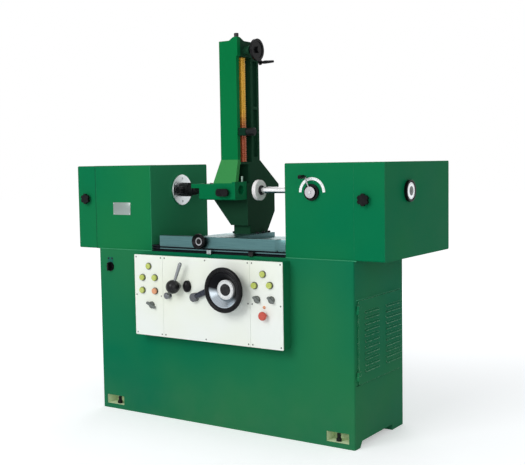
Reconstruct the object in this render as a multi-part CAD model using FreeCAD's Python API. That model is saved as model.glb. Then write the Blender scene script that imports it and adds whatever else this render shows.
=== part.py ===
import FreeCAD, Part
import math
import os

V = FreeCAD.Vector
os.makedirs("parts", exist_ok=True)

# Connecting rod boring and grinding machine, in millimetres.
# X runs along the spindles, Y towards the back, Z up. The origin is on the floor, midway between
# the two heads and under the spindle axis.

# Driving dimensions
cabinet_half_length = 706
cabinet_half_depth = 234
cabinet_height = 790
head_height = 405
spindle_drop = 123
spindle_bed_gap = 374
left_head_length = 348
right_head_length = 330
left_cover_length = 122
right_cover_length = 140
head_setback = 8
left_head_inset = 20
right_head_overhang = 200
column_length = 553
column_width = 98
column_depth = 184
column_right = -9
wheel_middle = 91

spindle_height = cabinet_height + head_height - spindle_drop
head_front = head_setback - cabinet_half_depth
left_head_back = cabinet_half_depth - left_head_inset
right_head_back = cabinet_half_depth + right_head_overhang
left_seam = -spindle_bed_gap - left_head_length
right_seam = spindle_bed_gap + right_head_length

# Shared clearances and thicknesses
touch_gap = 0.3
shaft_gap = 0.05
part_gap = 1
overrun = 5
sheet = 4
plate = 6
casting_wall = 14
edge_round = 8
small_round = 3

# Cabinet
cabinet_floor = 12
rail_height = 26
front_rail = 47
rear_rail = 116
rail_chamfer = 18
rib_place_share = 0.5
pocket_inset = 82
pocket_width = 108
pocket_low = 22
pocket_high = 66
pocket_depth = 70
anchor_inset_x = 49
anchor_inset_y = 24
anchor_hole = 9
levelling_inset = 89
levelling_radius = 8
levelling_top = 56
levelling_nut = 13
levelling_nut_height = 12
door_inset_front = 29
door_inset_back = 34
door_drop = 166
door_height = 354
door_overlap = 12
door_round = 10
knuckle_radius = 6
knuckle_length = 36
knuckle_inset = 38
knuckle_offset = 6.6
knuckle_leaf = 16
louvre_count = 11
louvre_row_shares = (0.135, 0.07)
louvre_column_shares = ((0.14, 0.44), (0.63, 0.98))
louvre_height = 9
louvre_hood = 6
louvre_lip = 2
switch_inset = 72
switch_drop = 85
switch_radius = 22.5
switch_depth = 18
switch_plate = 4
switch_grip = 8

pocket_place = cabinet_half_length - pocket_inset
anchor_place_x = cabinet_half_length - anchor_inset_x
anchor_place_y = cabinet_half_depth - anchor_inset_y
levelling_place = cabinet_half_length - levelling_inset
door_front = door_inset_front - cabinet_half_depth
door_back = cabinet_half_depth - door_inset_back
door_high = cabinet_height - door_drop
door_low = door_high - door_height
switch_place = (switch_inset - cabinet_half_length, cabinet_height - switch_drop)

# Panel housing and its controls, whose places are across and down from the panel's top edge
panel_left = -424
panel_right = 400
panel_drop = 11
panel_height = 378
panel_depth = 62
panel_seam_left = -254
panel_seam_right = 232
seam_gap = 1
panel_round = 6
bezel_radius = 16
bezel_bore = 13.5
bezel_depth = 5
button_radius = 13
button_depth = 9
button_stem = 5
stem_length = 14
press_travel = 3
lamp_radius = 13.2
lamp_depth = 12
lamps = {
    "left": (-336, 52),
    "right": (301, 56),
}
buttons = {
    "button_left_upper_a": (-373, 106),
    "button_left_upper_b": (-299, 104),
    "button_left_lower_a": (-375, 166),
    "button_left_lower_b": (-299, 166),
    "button_right_upper_a": (258, 107),
    "button_right_upper_b": (337, 102),
}
selectors = {
    "selector_left": (-322, 233),
    "selector_right_a": (270, 167),
    "selector_right_b": (344, 164),
}
selector_leans = {"selector_left": 65, "selector_right_a": 52, "selector_right_b": 52}
selector_reaches = {"selector_left": 27, "selector_right_a": 19, "selector_right_b": 19}
selector_radius = 13
selector_bar = 11
emergency_place = (308, 234)
emergency_radius = 19
emergency_neck = 12
emergency_depth = 24
emergency_cap = 11
lever_hub_place = (-164, 134)
lever_ball = 32
lever_ball_stand = 39
lever_reach = (44, 104)
lever_root = 5
lever_end = 9
lever_shaft = 10
throttle_place = (-107, 132)
throttle_width = 38
throttle_height = 53
throttle_depth = 24
throttle_crown = 11
chrome_place = (-217, 181)
chrome_radius = 15
chrome_depth = 26
reverse_place = (-65, 179)
reverse_radius = 20
reverse_depth = 22
reverse_reach = (82, 37)
reverse_grip = 8
handwheel_place = (131, 129)
handwheel_radius = 100
handwheel_rim = 11
handwheel_stand = 56
handwheel_groove = 4
dish_plate = 4
dish_hub = 44
dish_stand = 26
dial_radius = 43
dial_depth = 12
dial_cap = 26
handwheel_shaft = 12

panel_high = cabinet_height - panel_drop
panel_low = panel_high - panel_height
panel_front = -cabinet_half_depth - panel_depth
handwheel_plane = panel_front - handwheel_stand
dish_back = panel_front - dish_stand
lever_ball_middle = panel_front - lever_ball_stand

# Bed, saddle and cross slide
bed_height = 30
lip_height = 6
groove_height = 5
groove_depth = 14
rail_gap = 1
slot_mouth = 6
slot_inner = 11
slot_mouth_depth = 7
slot_inner_depth = 7
front_way_width = 130
rear_way_width = 55
vee_inset = 69
vee_half = 22
vee_drop = 14
trough_depth = 20
stop_places = (-28, 200)
stop_width = 24
stop_height = 18
stop_depth = 18
saddle_end_gap = 49
deck_height = 18
apron_height = 46
apron_depth = 38
cross_margin_left = 43
cross_margin_right = 39
cross_setback = 8
cross_back_inset = 12
cross_height = 22
dovetail_half = 62
dovetail_slope = 8
cross_knob_inset = 25
cross_knob_rise = 26
cross_knob_radius = 36
cross_knob_rim = 8
cross_knob_hub = 20
cross_knob_dish = 11
cross_knob_depth = 24
cross_knob_shaft = 6
cross_screw_reach = 50
cross_feed_travel = 2
knob_gap = 2

bed_top = cabinet_height + bed_height
lip_low = bed_top - lip_height
groove_low = lip_low - groove_height
rail_low = cabinet_height + rail_gap
slot_middle = (rail_low + groove_low) / 2
way_inner = head_front + front_way_width
vee_middle = cabinet_half_depth - vee_inset
way_rear = vee_middle - rear_way_width
trough_floor = bed_top - trough_depth
saddle_right = spindle_bed_gap - saddle_end_gap
saddle_left = -saddle_right
saddle_front = head_front
saddle_back = cabinet_half_depth
saddle_top = bed_top + deck_height
apron_back = saddle_front + apron_depth
apron_top = bed_top + apron_height
column_left = column_right - column_width
cross_left = column_left - cross_margin_left
cross_right = column_right + cross_margin_right
cross_front = apron_back + cross_setback
cross_back = saddle_back - cross_back_inset
cross_top = saddle_top + cross_height
dovetail_place = (cross_left + cross_right) / 2
cross_knob_place = (column_left + cross_knob_inset, bed_top + cross_knob_rise)

# Fixture column and its guide arm
front_wall_outer = -26
column_wall = 22
way_depth = 118
arm_rise = 30
arm_drop = 46
flare_height = 111
flare_out_front = 23
flare_out_left = 32
rib_height_share = 0.445
rib_thickness = 12
recess_depth = 14
recess_end = 14
recess_margin_share = 0.21
pedestal_setback = 26
foot_reach = 127
foot_low_inset = 8
foot_knee_share = 0.48
lug_reach = 166
lug_rise = 20
lug_drop = 24
web_thickness = 19
web_tip = 7
web_low_share = 0.25
shelf_thickness = 10
lower_shelf_drop = 20
arm_gap = 14
arm_end_gap = 3
arm_front = -49
arm_notch_length = 48
arm_strip = 20
arm_end_block = 18
arm_end_rise = 9
bar_clearance = 2.5
oiler_radius = 6
oiler_height = 26
oiler_back = 20
arm_knob_inset = 33
arm_knob_drop = 10
arm_knob_width = 70
arm_knob_height = 36
arm_knob_depth = 22
arm_knob_neck = 12
arm_knob_stem = 9
screw_radius = 18
screw_inset = 19
screw_journal = 10
crank_drop = 44
bevel_large = 16
bevel_small = 8
bevel_teeth = 12
bevel_tooth = 2
crank_shaft = 8
bracket_plate = 7
crank_boss_length = 29
crank_boss_radius = 22
crank_bracket_drop = 28
upper_shelf_drop = 29
crank_wheel_stand = 34
crank_wheel_radius = 51
crank_rim = 6
crank_web = 6
crank_hub = 15
crank_hub_length = 28
crank_arm = 61
crank_lean = 20
crank_boss = 12
crank_handle_length = 66
crank_handle_radius = 8
crank_handle_taper = 2.5
top_lug_width = 46
top_lug_depth = 56
top_lug_crown = 23
top_lug_height = 15
cap_knob_radius = 11
cap_knob_height = 18
pin_rise = 130
slide_below = 17
slide_above = 18
slide_reach = 40
slide_front = -20
slide_back = 50
pin_radius = 18
pin_length = 40
pin_spigot = 12
pin_chamfer = 2

column_back = front_wall_outer + column_depth
front_inner = front_wall_outer + column_wall
rear_way = front_wall_outer + way_depth
arm_top = spindle_height + arm_rise
arm_low = spindle_height - arm_drop
flare_bottom = arm_top
flare_top = flare_bottom + flare_height
column_top = flare_top + column_length
flare_front = front_wall_outer - flare_out_front
flare_left = column_left - flare_out_left
pedestal_front = rear_way - pedestal_setback
arm_back = pedestal_front - web_thickness
arm_right = column_right - arm_end_gap
screw_place = (column_right - screw_inset, (front_inner + rear_way) / 2)
crank_height = column_top - crank_drop
crank_bracket_low = crank_height - crank_bracket_drop
upper_shelf = crank_height - upper_shelf_drop
lower_shelf = flare_top - lower_shelf_drop
crank_boss_start = column_right + bracket_plate
crank_boss_end = crank_boss_start + crank_boss_length
crank_wheel_middle = crank_boss_end + crank_wheel_stand
pin_height = flare_top + pin_rise
slide_low = pin_height - slide_below
slide_top = pin_height + slide_above
slide_right = column_right + slide_reach

# Spindles, chucks and wheel
spindle_radius = 35
boss_radius = 58
boss_length = 60
plate_radius = 74
plate_length = 8
plate_gap = 4
chuck_radius = 32
chuck_length = 48
chuck_lobe = 11
lobe_count = 3
tool_knob_radius = 17
tool_knob_reach = 64
tool_knob_notch = 4
tool_knob_notches = 8
collar_radius = 25.5
collar_length = 30
bar_radius = 19.5
bar_end_gap = 28
cutter_width = 5
quill_radius = 14.5
quill_collar = 27
quill_collar_length = 22
wheel_radius = 47.5
wheel_width = 19
wheel_bore = 15
flange_radius = 22
flange_depth = 7
flange_hub = 14.8
nut_width = 26
nut_height = 12

chuck_start = plate_gap + plate_length - spindle_bed_gap
collar_end = chuck_start + chuck_length + collar_length
bar_tip = arm_right - bar_end_gap
arm_bore = bar_radius + bar_clearance
arm_left = collar_end + arm_gap
arm_notch = arm_left + arm_notch_length

# Motors, belts and pulleys
motor_radius = 74
motor_length = 220
motor_clearance = 20
motor_inset = 40
motor_back = 0
motor_fins = 14
motor_fin_depth = 5
motor_fin_width = 4
motor_foot = 130
motor_foot_depth = 150
motor_foot_height = 14
motor_shaft = 12
motor_bearing = 60
spindle_pulley_share = 0.32
motor_pulley_share = 0.224
pulley_width = 40
pulley_rim = 4
belt_thickness = 5
pulley_inset = 24

motor_height = cabinet_height + motor_radius + motor_clearance
spindle_pulley = spindle_pulley_share * (spindle_height - motor_height)
motor_pulley = motor_pulley_share * (spindle_height - motor_height)

# Head covers and feed controls
star_radius = 26
star_depth = 22
star_points = 6
star_scallop = 8
star_neck = 10
left_star_inset = 60
left_star_drop = 38
right_star_inset = 51
right_star_drop = 29
cover_gap = 0.3
hinge_pin = 7
hinge_offset = 9
hinge_length = 44
hinge_inset = 60
dial_rim_radius = 46
dial_rim_depth = 13
dial_face_radius = 38.5
dial_face_drop = 3
dial_shaft = 10
scale_inset = 135
scale_depth = 3
feed_disc_radius = 35
feed_disc_depth = 9
feed_hub_radius = 21
feed_hub_depth = 7
feed_shaft = 9
feed_lever_angle = 21
feed_lever_reach = 70
feed_lever_radius = 3
feed_neck_radius = 5
feed_neck_length = 11
feed_grip_radius = 8.5
feed_grip_length = 36

left_star = (left_seam - left_star_inset, spindle_height - left_star_drop)
right_star = (right_seam + right_star_inset, spindle_height - right_star_drop)
scale_place = (spindle_bed_gap + scale_inset, spindle_height)


def on_panel(place):
    """A place on the panel, from its distances across and down from the top edge."""
    across, drop = place
    return across, panel_high - drop


def save(name, shape):
    shape.exportStep("parts/" + name + ".step")
    print(name, "solids", len(shape.Solids), "valid", shape.isValid())


def box(x0, x1, y0, y1, z0, z1):
    return Part.makeBox(x1 - x0, y1 - y0, z1 - z0, V(x0, y0, z0))


def rod_x(x0, x1, y, z, radius):
    return Part.makeCylinder(radius, x1 - x0, V(x0, y, z), V(1, 0, 0))


def rod_y(y0, y1, x, z, radius):
    return Part.makeCylinder(radius, y1 - y0, V(x, y0, z), V(0, 1, 0))


def rod_z(z0, z1, x, y, radius):
    return Part.makeCylinder(radius, z1 - z0, V(x, y, z0), V(0, 0, 1))


def cone_x(x0, x1, y, z, radius0, radius1):
    return Part.makeCone(radius0, radius1, x1 - x0, V(x0, y, z), V(1, 0, 0))


def tube_x(x0, x1, y, z, outer, inner):
    return rod_x(x0, x1, y, z, outer).cut(rod_x(x0 - overrun, x1 + overrun, y, z, inner))


def tube_y(y0, y1, x, z, outer, inner):
    return rod_y(y0, y1, x, z, outer).cut(rod_y(y0 - overrun, y1 + overrun, x, z, inner))


def face_of(points):
    return Part.Face(Part.makePolygon(points + [points[0]]))


def prism_x(x0, x1, outline):
    points = [V(x0, y, z) for y, z in outline]
    return face_of(points).extrude(V(x1 - x0, 0, 0))


def prism_y(y0, y1, outline):
    points = [V(x, y0, z) for x, z in outline]
    return face_of(points).extrude(V(0, y1 - y0, 0))


def revolve_y(outline, x, z):
    """A body turned about an axis along Y through (x, z); the outline holds (radius, y)."""
    points = [V(x + radius, y, z) for radius, y in outline]
    return face_of(points).revolve(V(x, 0, z), V(0, 1, 0), 360)


def round_edges(shape, radius, chosen):
    edges = [edge for edge in shape.Edges if chosen(edge)]
    return shape.makeFillet(radius, edges)


def is_along(edge, axis):
    start = edge.Vertexes[0].Point
    end = edge.Vertexes[-1].Point
    step = end.sub(start)
    sizes = {"x": abs(step.x), "y": abs(step.y), "z": abs(step.z)}
    return sizes[axis] > 0 and sizes[axis] == max(sizes.values()) and len(edge.Vertexes) == 2


# Cabinet
def make_cabinet():
    floor_top = rail_height + cabinet_floor
    shape = box(-cabinet_half_length, cabinet_half_length, -cabinet_half_depth, cabinet_half_depth,
                0, cabinet_height)
    shape = round_edges(shape, edge_round, lambda edge: is_along(edge, "z"))
    shape = shape.cut(box(plate - cabinet_half_length, cabinet_half_length - plate,
                          plate - cabinet_half_depth, cabinet_half_depth - plate,
                          floor_top, cabinet_height - plate))
    under_front = front_rail - cabinet_half_depth
    under_back = cabinet_half_depth - rear_rail
    under = [(under_front, -overrun), (under_front, 0), (under_front + rail_chamfer, rail_height),
             (under_back, rail_height), (under_back, -overrun)]
    reach = cabinet_half_length + overrun
    shape = shape.cut(prism_x(-reach, reach, under))
    rib_place = rib_place_share * cabinet_half_length
    for middle in (-rib_place, rib_place):
        shape = shape.fuse(box(middle - plate / 2, middle + plate / 2,
                               -cabinet_half_depth + plate / 2, cabinet_half_depth - plate / 2,
                               floor_top - plate / 2, cabinet_height - plate / 2))
    for side_x in (-1, 1):
        for side_y in (-1, 1):
            shape = add_pocket(shape, side_x, side_y)
    opening = box(cabinet_half_length - plate - overrun, cabinet_half_length + overrun,
                  door_front + door_overlap, door_back - door_overlap,
                  door_low + door_overlap, door_high - door_overlap)
    shape = add_door_knuckles(shape.cut(opening))
    x, z = switch_place
    return shape.cut(rod_y(-cabinet_half_depth - overrun, -cabinet_half_depth + plate + overrun,
                           x, z, switch_grip + shaft_gap))


def add_pocket(shape, side_x, side_y):
    """An open pocket in a corner of the base, over its anchor hole and levelling screw hole."""
    low_x = side_x * pocket_place - pocket_width / 2
    high_x = low_x + pocket_width
    outer_y = side_y * cabinet_half_depth
    inner_y = side_y * (cabinet_half_depth - pocket_depth)
    low_y = min(outer_y, inner_y)
    high_y = max(outer_y, inner_y)
    lining = box(low_x - plate, high_x + plate,
                 max(low_y - plate, plate / 2 - cabinet_half_depth),
                 min(high_y + plate, cabinet_half_depth - plate / 2),
                 rail_height, pocket_high + plate)
    cut_low = low_y if side_y > 0 else low_y - overrun
    cut_high = high_y + overrun if side_y > 0 else high_y
    shape = shape.fuse(lining).cut(box(low_x, high_x, cut_low, cut_high, pocket_low, pocket_high))
    for place, radius in ((anchor_place_x, anchor_hole),
                          (levelling_place, levelling_radius + touch_gap)):
        shape = shape.cut(rod_z(-overrun, pocket_low + overrun, side_x * place,
                                side_y * anchor_place_y, radius))
    return shape


def make_levelling_screws():
    screws = []
    for side_x in (-1, 1):
        for side_y in (-1, 1):
            x = side_x * levelling_place
            y = side_y * anchor_place_y
            screw = rod_z(part_gap, levelling_top, x, y, levelling_radius)
            corners = [V(x + levelling_nut * math.cos(math.radians(angle)),
                         y + levelling_nut * math.sin(math.radians(angle)), pocket_low)
                       for angle in range(0, 360, 60)]
            nut = face_of(corners).extrude(V(0, 0, levelling_nut_height))
            screws.append(screw.fuse(nut))
    return Part.makeCompound(screws)


def make_door():
    """The louvred side door, with hinge knuckles on its front edge."""
    inner = cabinet_half_length + touch_gap
    outer = inner + plate
    shape = round_edges(box(inner, outer, door_front, door_back, door_low, door_high), door_round,
                        lambda edge: is_along(edge, "x"))
    first_row, row_pitch = (share * door_height for share in louvre_row_shares)
    for shares in louvre_column_shares:
        low_y, high_y = (door_front + share * (door_back - door_front) for share in shares)
        for row in range(louvre_count):
            low_z = door_low + first_row + row * row_pitch
            high_z = low_z + louvre_height
            shape = shape.cut(box(inner - overrun, outer + overrun, low_y, high_y, low_z, high_z))
            hood = [(outer - louvre_lip, high_z + louvre_lip), (outer + louvre_hood, low_z + louvre_lip),
                    (outer + louvre_hood, low_z), (outer - louvre_lip, high_z)]
            points = [V(x, low_y - louvre_lip, z) for x, z in hood]
            shape = shape.fuse(face_of(points).extrude(V(0, high_y - low_y + 2 * louvre_lip, 0)))
    for low_z in knuckle_places():
        start = low_z + knuckle_length / 2
        end = low_z + knuckle_length
        knuckle = rod_z(start, end, outer, door_front - knuckle_offset, knuckle_radius)
        leaf = box(outer - touch_gap, outer + knuckle_radius / 2, door_front - knuckle_offset,
                   door_front + knuckle_leaf, start, end)
        shape = shape.fuse(knuckle).fuse(leaf)
    return shape.removeSplitter()


def knuckle_places():
    return (door_low + knuckle_inset - knuckle_length / 2,
            door_high - knuckle_inset - knuckle_length / 2)


def add_door_knuckles(shape):
    """The lower half of each door hinge, standing on the side of the cabinet."""
    axis_x = cabinet_half_length + touch_gap + plate
    axis_y = door_front - knuckle_offset
    for low_z in knuckle_places():
        high_z = low_z + knuckle_length / 2 - touch_gap
        knuckle = rod_z(low_z, high_z, axis_x, axis_y, knuckle_radius)
        leaf = box(cabinet_half_length - plate / 2, axis_x, axis_y - knuckle_radius, axis_y, low_z, high_z)
        shape = shape.fuse(knuckle).fuse(leaf)
    return shape


def make_main_switch():
    x, z = switch_place
    front = -cabinet_half_depth - part_gap
    plate_face = front - switch_plate
    shape = rod_y(plate_face, front, x, z, switch_radius)
    grip = box(x - switch_grip / 2, x + switch_grip / 2, plate_face - switch_depth, plate_face,
               z - switch_radius + small_round, z + switch_radius - small_round)
    grip = round_edges(grip, small_round, lambda edge: is_along(edge, "y"))
    shaft = rod_y(front, plate - cabinet_half_depth, x, z, switch_grip)
    return shape.fuse(grip).fuse(shaft)


# Panel housing
def make_panel_housing():
    back = -cabinet_half_depth
    front = panel_front + sheet
    shape = round_edges(box(panel_left, panel_right, front, back, panel_low, panel_high), panel_round,
                        lambda edge: is_along(edge, "y"))
    shape = shape.cut(box(panel_left + sheet, panel_right - sheet, front - overrun, back - sheet,
                          panel_low + sheet, panel_high - sheet))
    x, z = on_panel(handwheel_place)
    boss = rod_y(front, back, x, z, 2 * handwheel_shaft)
    bore = rod_y(front - overrun, back + overrun, x, z, handwheel_shaft + shaft_gap)
    return shape.fuse(boss).cut(bore)


def make_panel_plate(low_x, high_x, holes):
    shape = round_edges(box(low_x, high_x, panel_front, panel_front + sheet, panel_low, panel_high),
                        small_round, lambda edge: is_along(edge, "y"))
    for place, radius in holes:
        x, z = on_panel(place)
        shape = shape.cut(rod_y(panel_front - overrun, panel_front + sheet + overrun, x, z, radius))
    return shape


def panel_holes(names):
    small = [(buttons[name], button_stem + touch_gap) for name in names if name in buttons]
    return small + [(selectors[name], button_stem + touch_gap) for name in names if name in selectors]


def make_bezels():
    places = list(buttons.values()) + list(selectors.values()) + list(lamps.values())
    rings = []
    for place in places:
        x, z = on_panel(place)
        rings.append(tube_y(panel_front - bezel_depth, panel_front, x, z, bezel_radius, bezel_bore))
    return Part.makeCompound(rings)


def make_lamps():
    shapes = []
    front = panel_front - lamp_depth
    for place in lamps.values():
        x, z = on_panel(place)
        outline = [(0, front), (lamp_radius - small_round, front), (lamp_radius, front + small_round),
                   (lamp_radius, panel_front), (0, panel_front)]
        shapes.append(revolve_y(outline, x, z))
    return Part.makeCompound(shapes)


def make_button(place):
    x, z = on_panel(place)
    back = panel_front - press_travel - part_gap
    cap = rod_y(back - button_depth, back, x, z, button_radius)
    stem = rod_y(back, back + stem_length, x, z, button_stem)
    return cap.fuse(stem)


def make_selector(name):
    """A selector whose bar leans to the left by the angle it is set to."""
    x, z = on_panel(selectors[name])
    reach = selector_reaches[name]
    front = panel_front - bezel_depth
    body = rod_y(front, panel_front - part_gap, x, z, selector_radius)
    bar = box(x - selector_bar / 2, x + selector_bar / 2, front - button_depth, front,
              z - reach, z + reach)
    bar = round_edges(bar, small_round, lambda edge: is_along(edge, "y"))
    bar.rotate(V(x, front, z), V(0, 1, 0), -selector_leans[name])
    stem = rod_y(panel_front - part_gap, panel_front + stem_length, x, z, button_stem)
    return body.fuse(bar).fuse(stem)


def make_emergency_stop():
    x, z = on_panel(emergency_place)
    back = panel_front - press_travel - part_gap
    cap_back = back - emergency_depth + emergency_cap
    outline = [(0, back - emergency_depth), (emergency_radius - small_round, back - emergency_depth),
               (emergency_radius, cap_back - 2 * small_round), (emergency_radius, cap_back),
               (emergency_neck, cap_back + small_round), (emergency_neck, back),
               (button_stem, back), (button_stem, back + stem_length), (0, back + stem_length)]
    return revolve_y(outline, x, z)


def make_hydraulic_lever():
    """A ball hub on a short shaft, with a lever that rises from it and thickens to its end."""
    x, z = on_panel(lever_hub_place)
    ball = Part.makeSphere(lever_ball, V(x, lever_ball_middle, z))
    ball = ball.cut(box(x - 2 * lever_ball, x + 2 * lever_ball, panel_front - part_gap,
                        panel_front + 2 * lever_ball, z - 2 * lever_ball, z + 2 * lever_ball))
    neck = rod_y(lever_ball_middle, panel_front - part_gap, x, z, lever_ball / 2)
    shaft = rod_y(panel_front - part_gap, panel_front + stem_length, x, z, lever_shaft)
    reach = V(lever_reach[0], 0, lever_reach[1])
    hub = V(x, lever_ball_middle, z)
    arm = Part.makeCone(lever_root, lever_end, reach.Length, hub, reach)
    end = Part.makeSphere(lever_end, hub + reach)
    return ball.fuse(neck).fuse(shaft).fuse(arm).fuse(end)


def make_throttle_knob():
    """An oval knob: a round one with a crowned front, stretched upwards."""
    x, z = on_panel(throttle_place)
    back = panel_front - part_gap
    front = back - throttle_depth
    half = throttle_width / 2
    crown = (half ** 2 + throttle_crown ** 2) / (2 * throttle_crown)
    ball = Part.makeSphere(crown, V(x, front + crown, z))
    grip = ball.common(rod_y(front - overrun, back, x, z, half))
    stretch = FreeCAD.Matrix()
    stretch.move(V(-x, 0, -z))
    stretch.scale(V(1, 1, throttle_height / throttle_width))
    stretch.move(V(x, 0, z))
    stem = rod_y(back, panel_front + stem_length, x, z, button_stem)
    return grip.transformGeometry(stretch).fuse(stem)


def make_chrome_knob():
    x, z = on_panel(chrome_place)
    front = panel_front - chrome_depth
    back = panel_front - part_gap
    outline = [(0, front), (chrome_radius - small_round, front), (chrome_radius, front + small_round),
               (chrome_radius, front + chrome_depth / 2), (chrome_radius / 2, back - small_round),
               (chrome_radius, back), (button_stem, back), (button_stem, back + stem_length),
               (0, back + stem_length)]
    return revolve_y(outline, x, z)


def make_reverse_lever():
    x, z = on_panel(reverse_place)
    front = panel_front - reverse_depth
    back = panel_front - part_gap
    hub = rod_y(front, back, x, z, reverse_radius)
    hub = round_edges(hub, small_round, lambda edge: edge.BoundBox.YMax < front + touch_gap)
    stem = rod_y(back, back + stem_length, x, z, button_stem)
    reach = V(reverse_reach[0], 0, reverse_reach[1])
    middle = V(x, front + reverse_depth / 2, z)
    arm = Part.makeCone(reverse_grip, reverse_grip - small_round, reach.Length, middle, reach)
    grip = Part.makeSphere(reverse_grip, middle + reach)
    return hub.fuse(stem).fuse(arm).fuse(grip)


def make_handwheel_rim():
    """The moulded rim, with a groove inside that holds the edge of the dish."""
    x, z = on_panel(handwheel_place)
    ring = Part.makeTorus(handwheel_radius - handwheel_rim, handwheel_rim, V(x, handwheel_plane, z),
                          V(0, 1, 0))
    half = dish_plate / 2 + touch_gap
    inner = handwheel_radius - 2 * handwheel_rim
    return ring.cut(rod_y(handwheel_plane - half, handwheel_plane + half, x, z,
                          inner + handwheel_groove + touch_gap))


def make_handwheel_dish():
    """The dished web, which falls back from the rim to a hub on the shaft."""
    x, z = on_panel(handwheel_place)
    edge = handwheel_radius - 2 * handwheel_rim + handwheel_groove
    inner = handwheel_radius - 2 * handwheel_rim - handwheel_groove
    low = handwheel_plane - dish_plate / 2
    high = handwheel_plane + dish_plate / 2
    outline = [(0, dish_back), (0, dish_back - dish_plate), (dish_hub, dish_back - dish_plate),
               (inner, low), (edge, low), (edge, high), (inner, high),
               (dish_hub, dish_back + dish_plate),
               (dial_cap, dish_back + dish_plate), (dial_cap, panel_front - knob_gap),
               (handwheel_shaft, panel_front - knob_gap),
               (handwheel_shaft, -cabinet_half_depth - part_gap), (0, -cabinet_half_depth - part_gap)]
    return revolve_y(outline, x, z)


def make_handwheel_dial():
    x, z = on_panel(handwheel_place)
    back = dish_back - dish_plate
    return tube_y(back - dial_depth, back, x, z, dial_radius, dial_cap + touch_gap)


def make_handwheel_cap():
    x, z = on_panel(handwheel_place)
    back = dish_back - dish_plate
    front = back - dial_depth - dish_plate
    cap = rod_y(front, back, x, z, dial_cap)
    return round_edges(cap, small_round, lambda edge: edge.BoundBox.YMax < front + touch_gap)


# Bed, saddle and cross slide
def bed_profile():
    front = head_front
    back = cabinet_half_depth
    slot_side = slot_middle - slot_mouth / 2
    slot_far = slot_middle + slot_mouth / 2
    deep_side = slot_middle - slot_inner / 2
    deep_far = slot_middle + slot_inner / 2
    mouth = front + slot_mouth_depth
    deep = mouth + slot_inner_depth
    return [(front + groove_depth, cabinet_height), (front + groove_depth, rail_low),
            (front, rail_low), (front, slot_side), (mouth, slot_side), (mouth, deep_side),
            (deep, deep_side), (deep, deep_far), (mouth, deep_far), (mouth, slot_far),
            (front, slot_far), (front, groove_low), (front + groove_depth, groove_low),
            (front + groove_depth, lip_low), (front, lip_low), (front, bed_top),
            (way_inner, bed_top), (way_inner, trough_floor), (way_rear, trough_floor),
            (way_rear, bed_top), (vee_middle - vee_half, bed_top), (vee_middle, bed_top - vee_drop),
            (vee_middle + vee_half, bed_top), (back, bed_top), (back, cabinet_height)]


def make_bed():
    return prism_x(-spindle_bed_gap, spindle_bed_gap, bed_profile())


def make_stops():
    """Two trip dogs, each with a tongue in the T-slot of the bed's front rail."""
    stops = []
    for x in stop_places:
        front = head_front - stop_depth
        block = box(x - stop_width / 2, x + stop_width / 2, front, head_front,
                    slot_middle - stop_height / 2, slot_middle + stop_height / 2)
        block = block.makeChamfer(small_round, [edge for edge in block.Edges if is_along(edge, "z")
                                                and edge.BoundBox.YMax < head_front - small_round])
        tongue = box(x - stop_width / 2 + small_round, x + stop_width / 2 - small_round, head_front,
                     head_front + slot_mouth_depth, slot_middle - slot_mouth / 2 + touch_gap,
                     slot_middle + slot_mouth / 2 - touch_gap)
        stops.append(block.fuse(tongue))
    return Part.makeCompound(stops)


def make_saddle():
    low = bed_top + touch_gap
    tongue = vee_half - touch_gap
    outline = [(saddle_front, low), (vee_middle - tongue, low),
               (vee_middle, bed_top - vee_drop + touch_gap), (vee_middle + tongue, low),
               (saddle_back, low), (saddle_back, saddle_top), (saddle_front, saddle_top)]
    shape = prism_x(saddle_left, saddle_right, outline)
    shape = shape.cut(box(saddle_left + casting_wall, saddle_right - casting_wall, way_inner, way_rear,
                          low - overrun, saddle_top - casting_wall / 2))
    apron = box(saddle_left, saddle_right, saddle_front, apron_back, low, apron_top)
    apron = round_edges(apron, small_round, lambda edge: is_along(edge, "x")
                        and edge.BoundBox.ZMin > saddle_top)
    shape = shape.fuse(apron).removeSplitter()
    x, z = cross_knob_place
    groove = dovetail_outline(touch_gap)
    points = [V(corner_x, apron_back, corner_z) for corner_x, corner_z in groove]
    shape = shape.cut(face_of(points).extrude(V(0, saddle_back - apron_back + overrun, 0)))
    return shape.cut(rod_y(saddle_front - overrun, apron_back + overrun, x, z,
                           cross_knob_shaft + shaft_gap))


def dovetail_outline(gap):
    """The dovetail under the cross slide, grown by a gap for the groove that holds it."""
    low = saddle_top - dovetail_slope - gap
    top = saddle_top + gap
    half = dovetail_half + gap
    return [(dovetail_place - half - dovetail_slope, low), (dovetail_place + half + dovetail_slope, low),
            (dovetail_place + half, top), (dovetail_place - half, top)]


def make_cross_slide():
    low = saddle_top + touch_gap
    shape = box(cross_left, cross_right, cross_front, cross_back, low, cross_top)
    tenon = dovetail_outline(0)
    top = low + overrun
    tenon[3:3] = [(dovetail_place + dovetail_half, top), (dovetail_place - dovetail_half, top)]
    shape = shape.fuse(prism_y(cross_front, cross_back, tenon))
    x, z = cross_knob_place
    bore_end = cross_front + cross_screw_reach + cross_feed_travel + part_gap
    return shape.cut(rod_y(cross_front - overrun, bore_end, x, z, cross_knob_shaft + touch_gap))


def make_cross_knob():
    """A small dished handwheel on the cross feed screw."""
    x, z = cross_knob_place
    back = saddle_front - knob_gap
    front = back - cross_knob_depth
    floor = front + cross_knob_dish
    shoulder = front + cross_knob_rim / 2
    screw_end = cross_front + cross_screw_reach
    outline = [(0, floor), (cross_knob_hub, floor), (cross_knob_radius - cross_knob_rim, shoulder),
               (cross_knob_radius - cross_knob_rim / 2, front), (cross_knob_radius, shoulder),
               (cross_knob_radius, floor), (cross_knob_hub, back), (cross_knob_shaft, back),
               (cross_knob_shaft, screw_end), (0, screw_end)]
    return revolve_y(outline, x, z)


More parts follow.
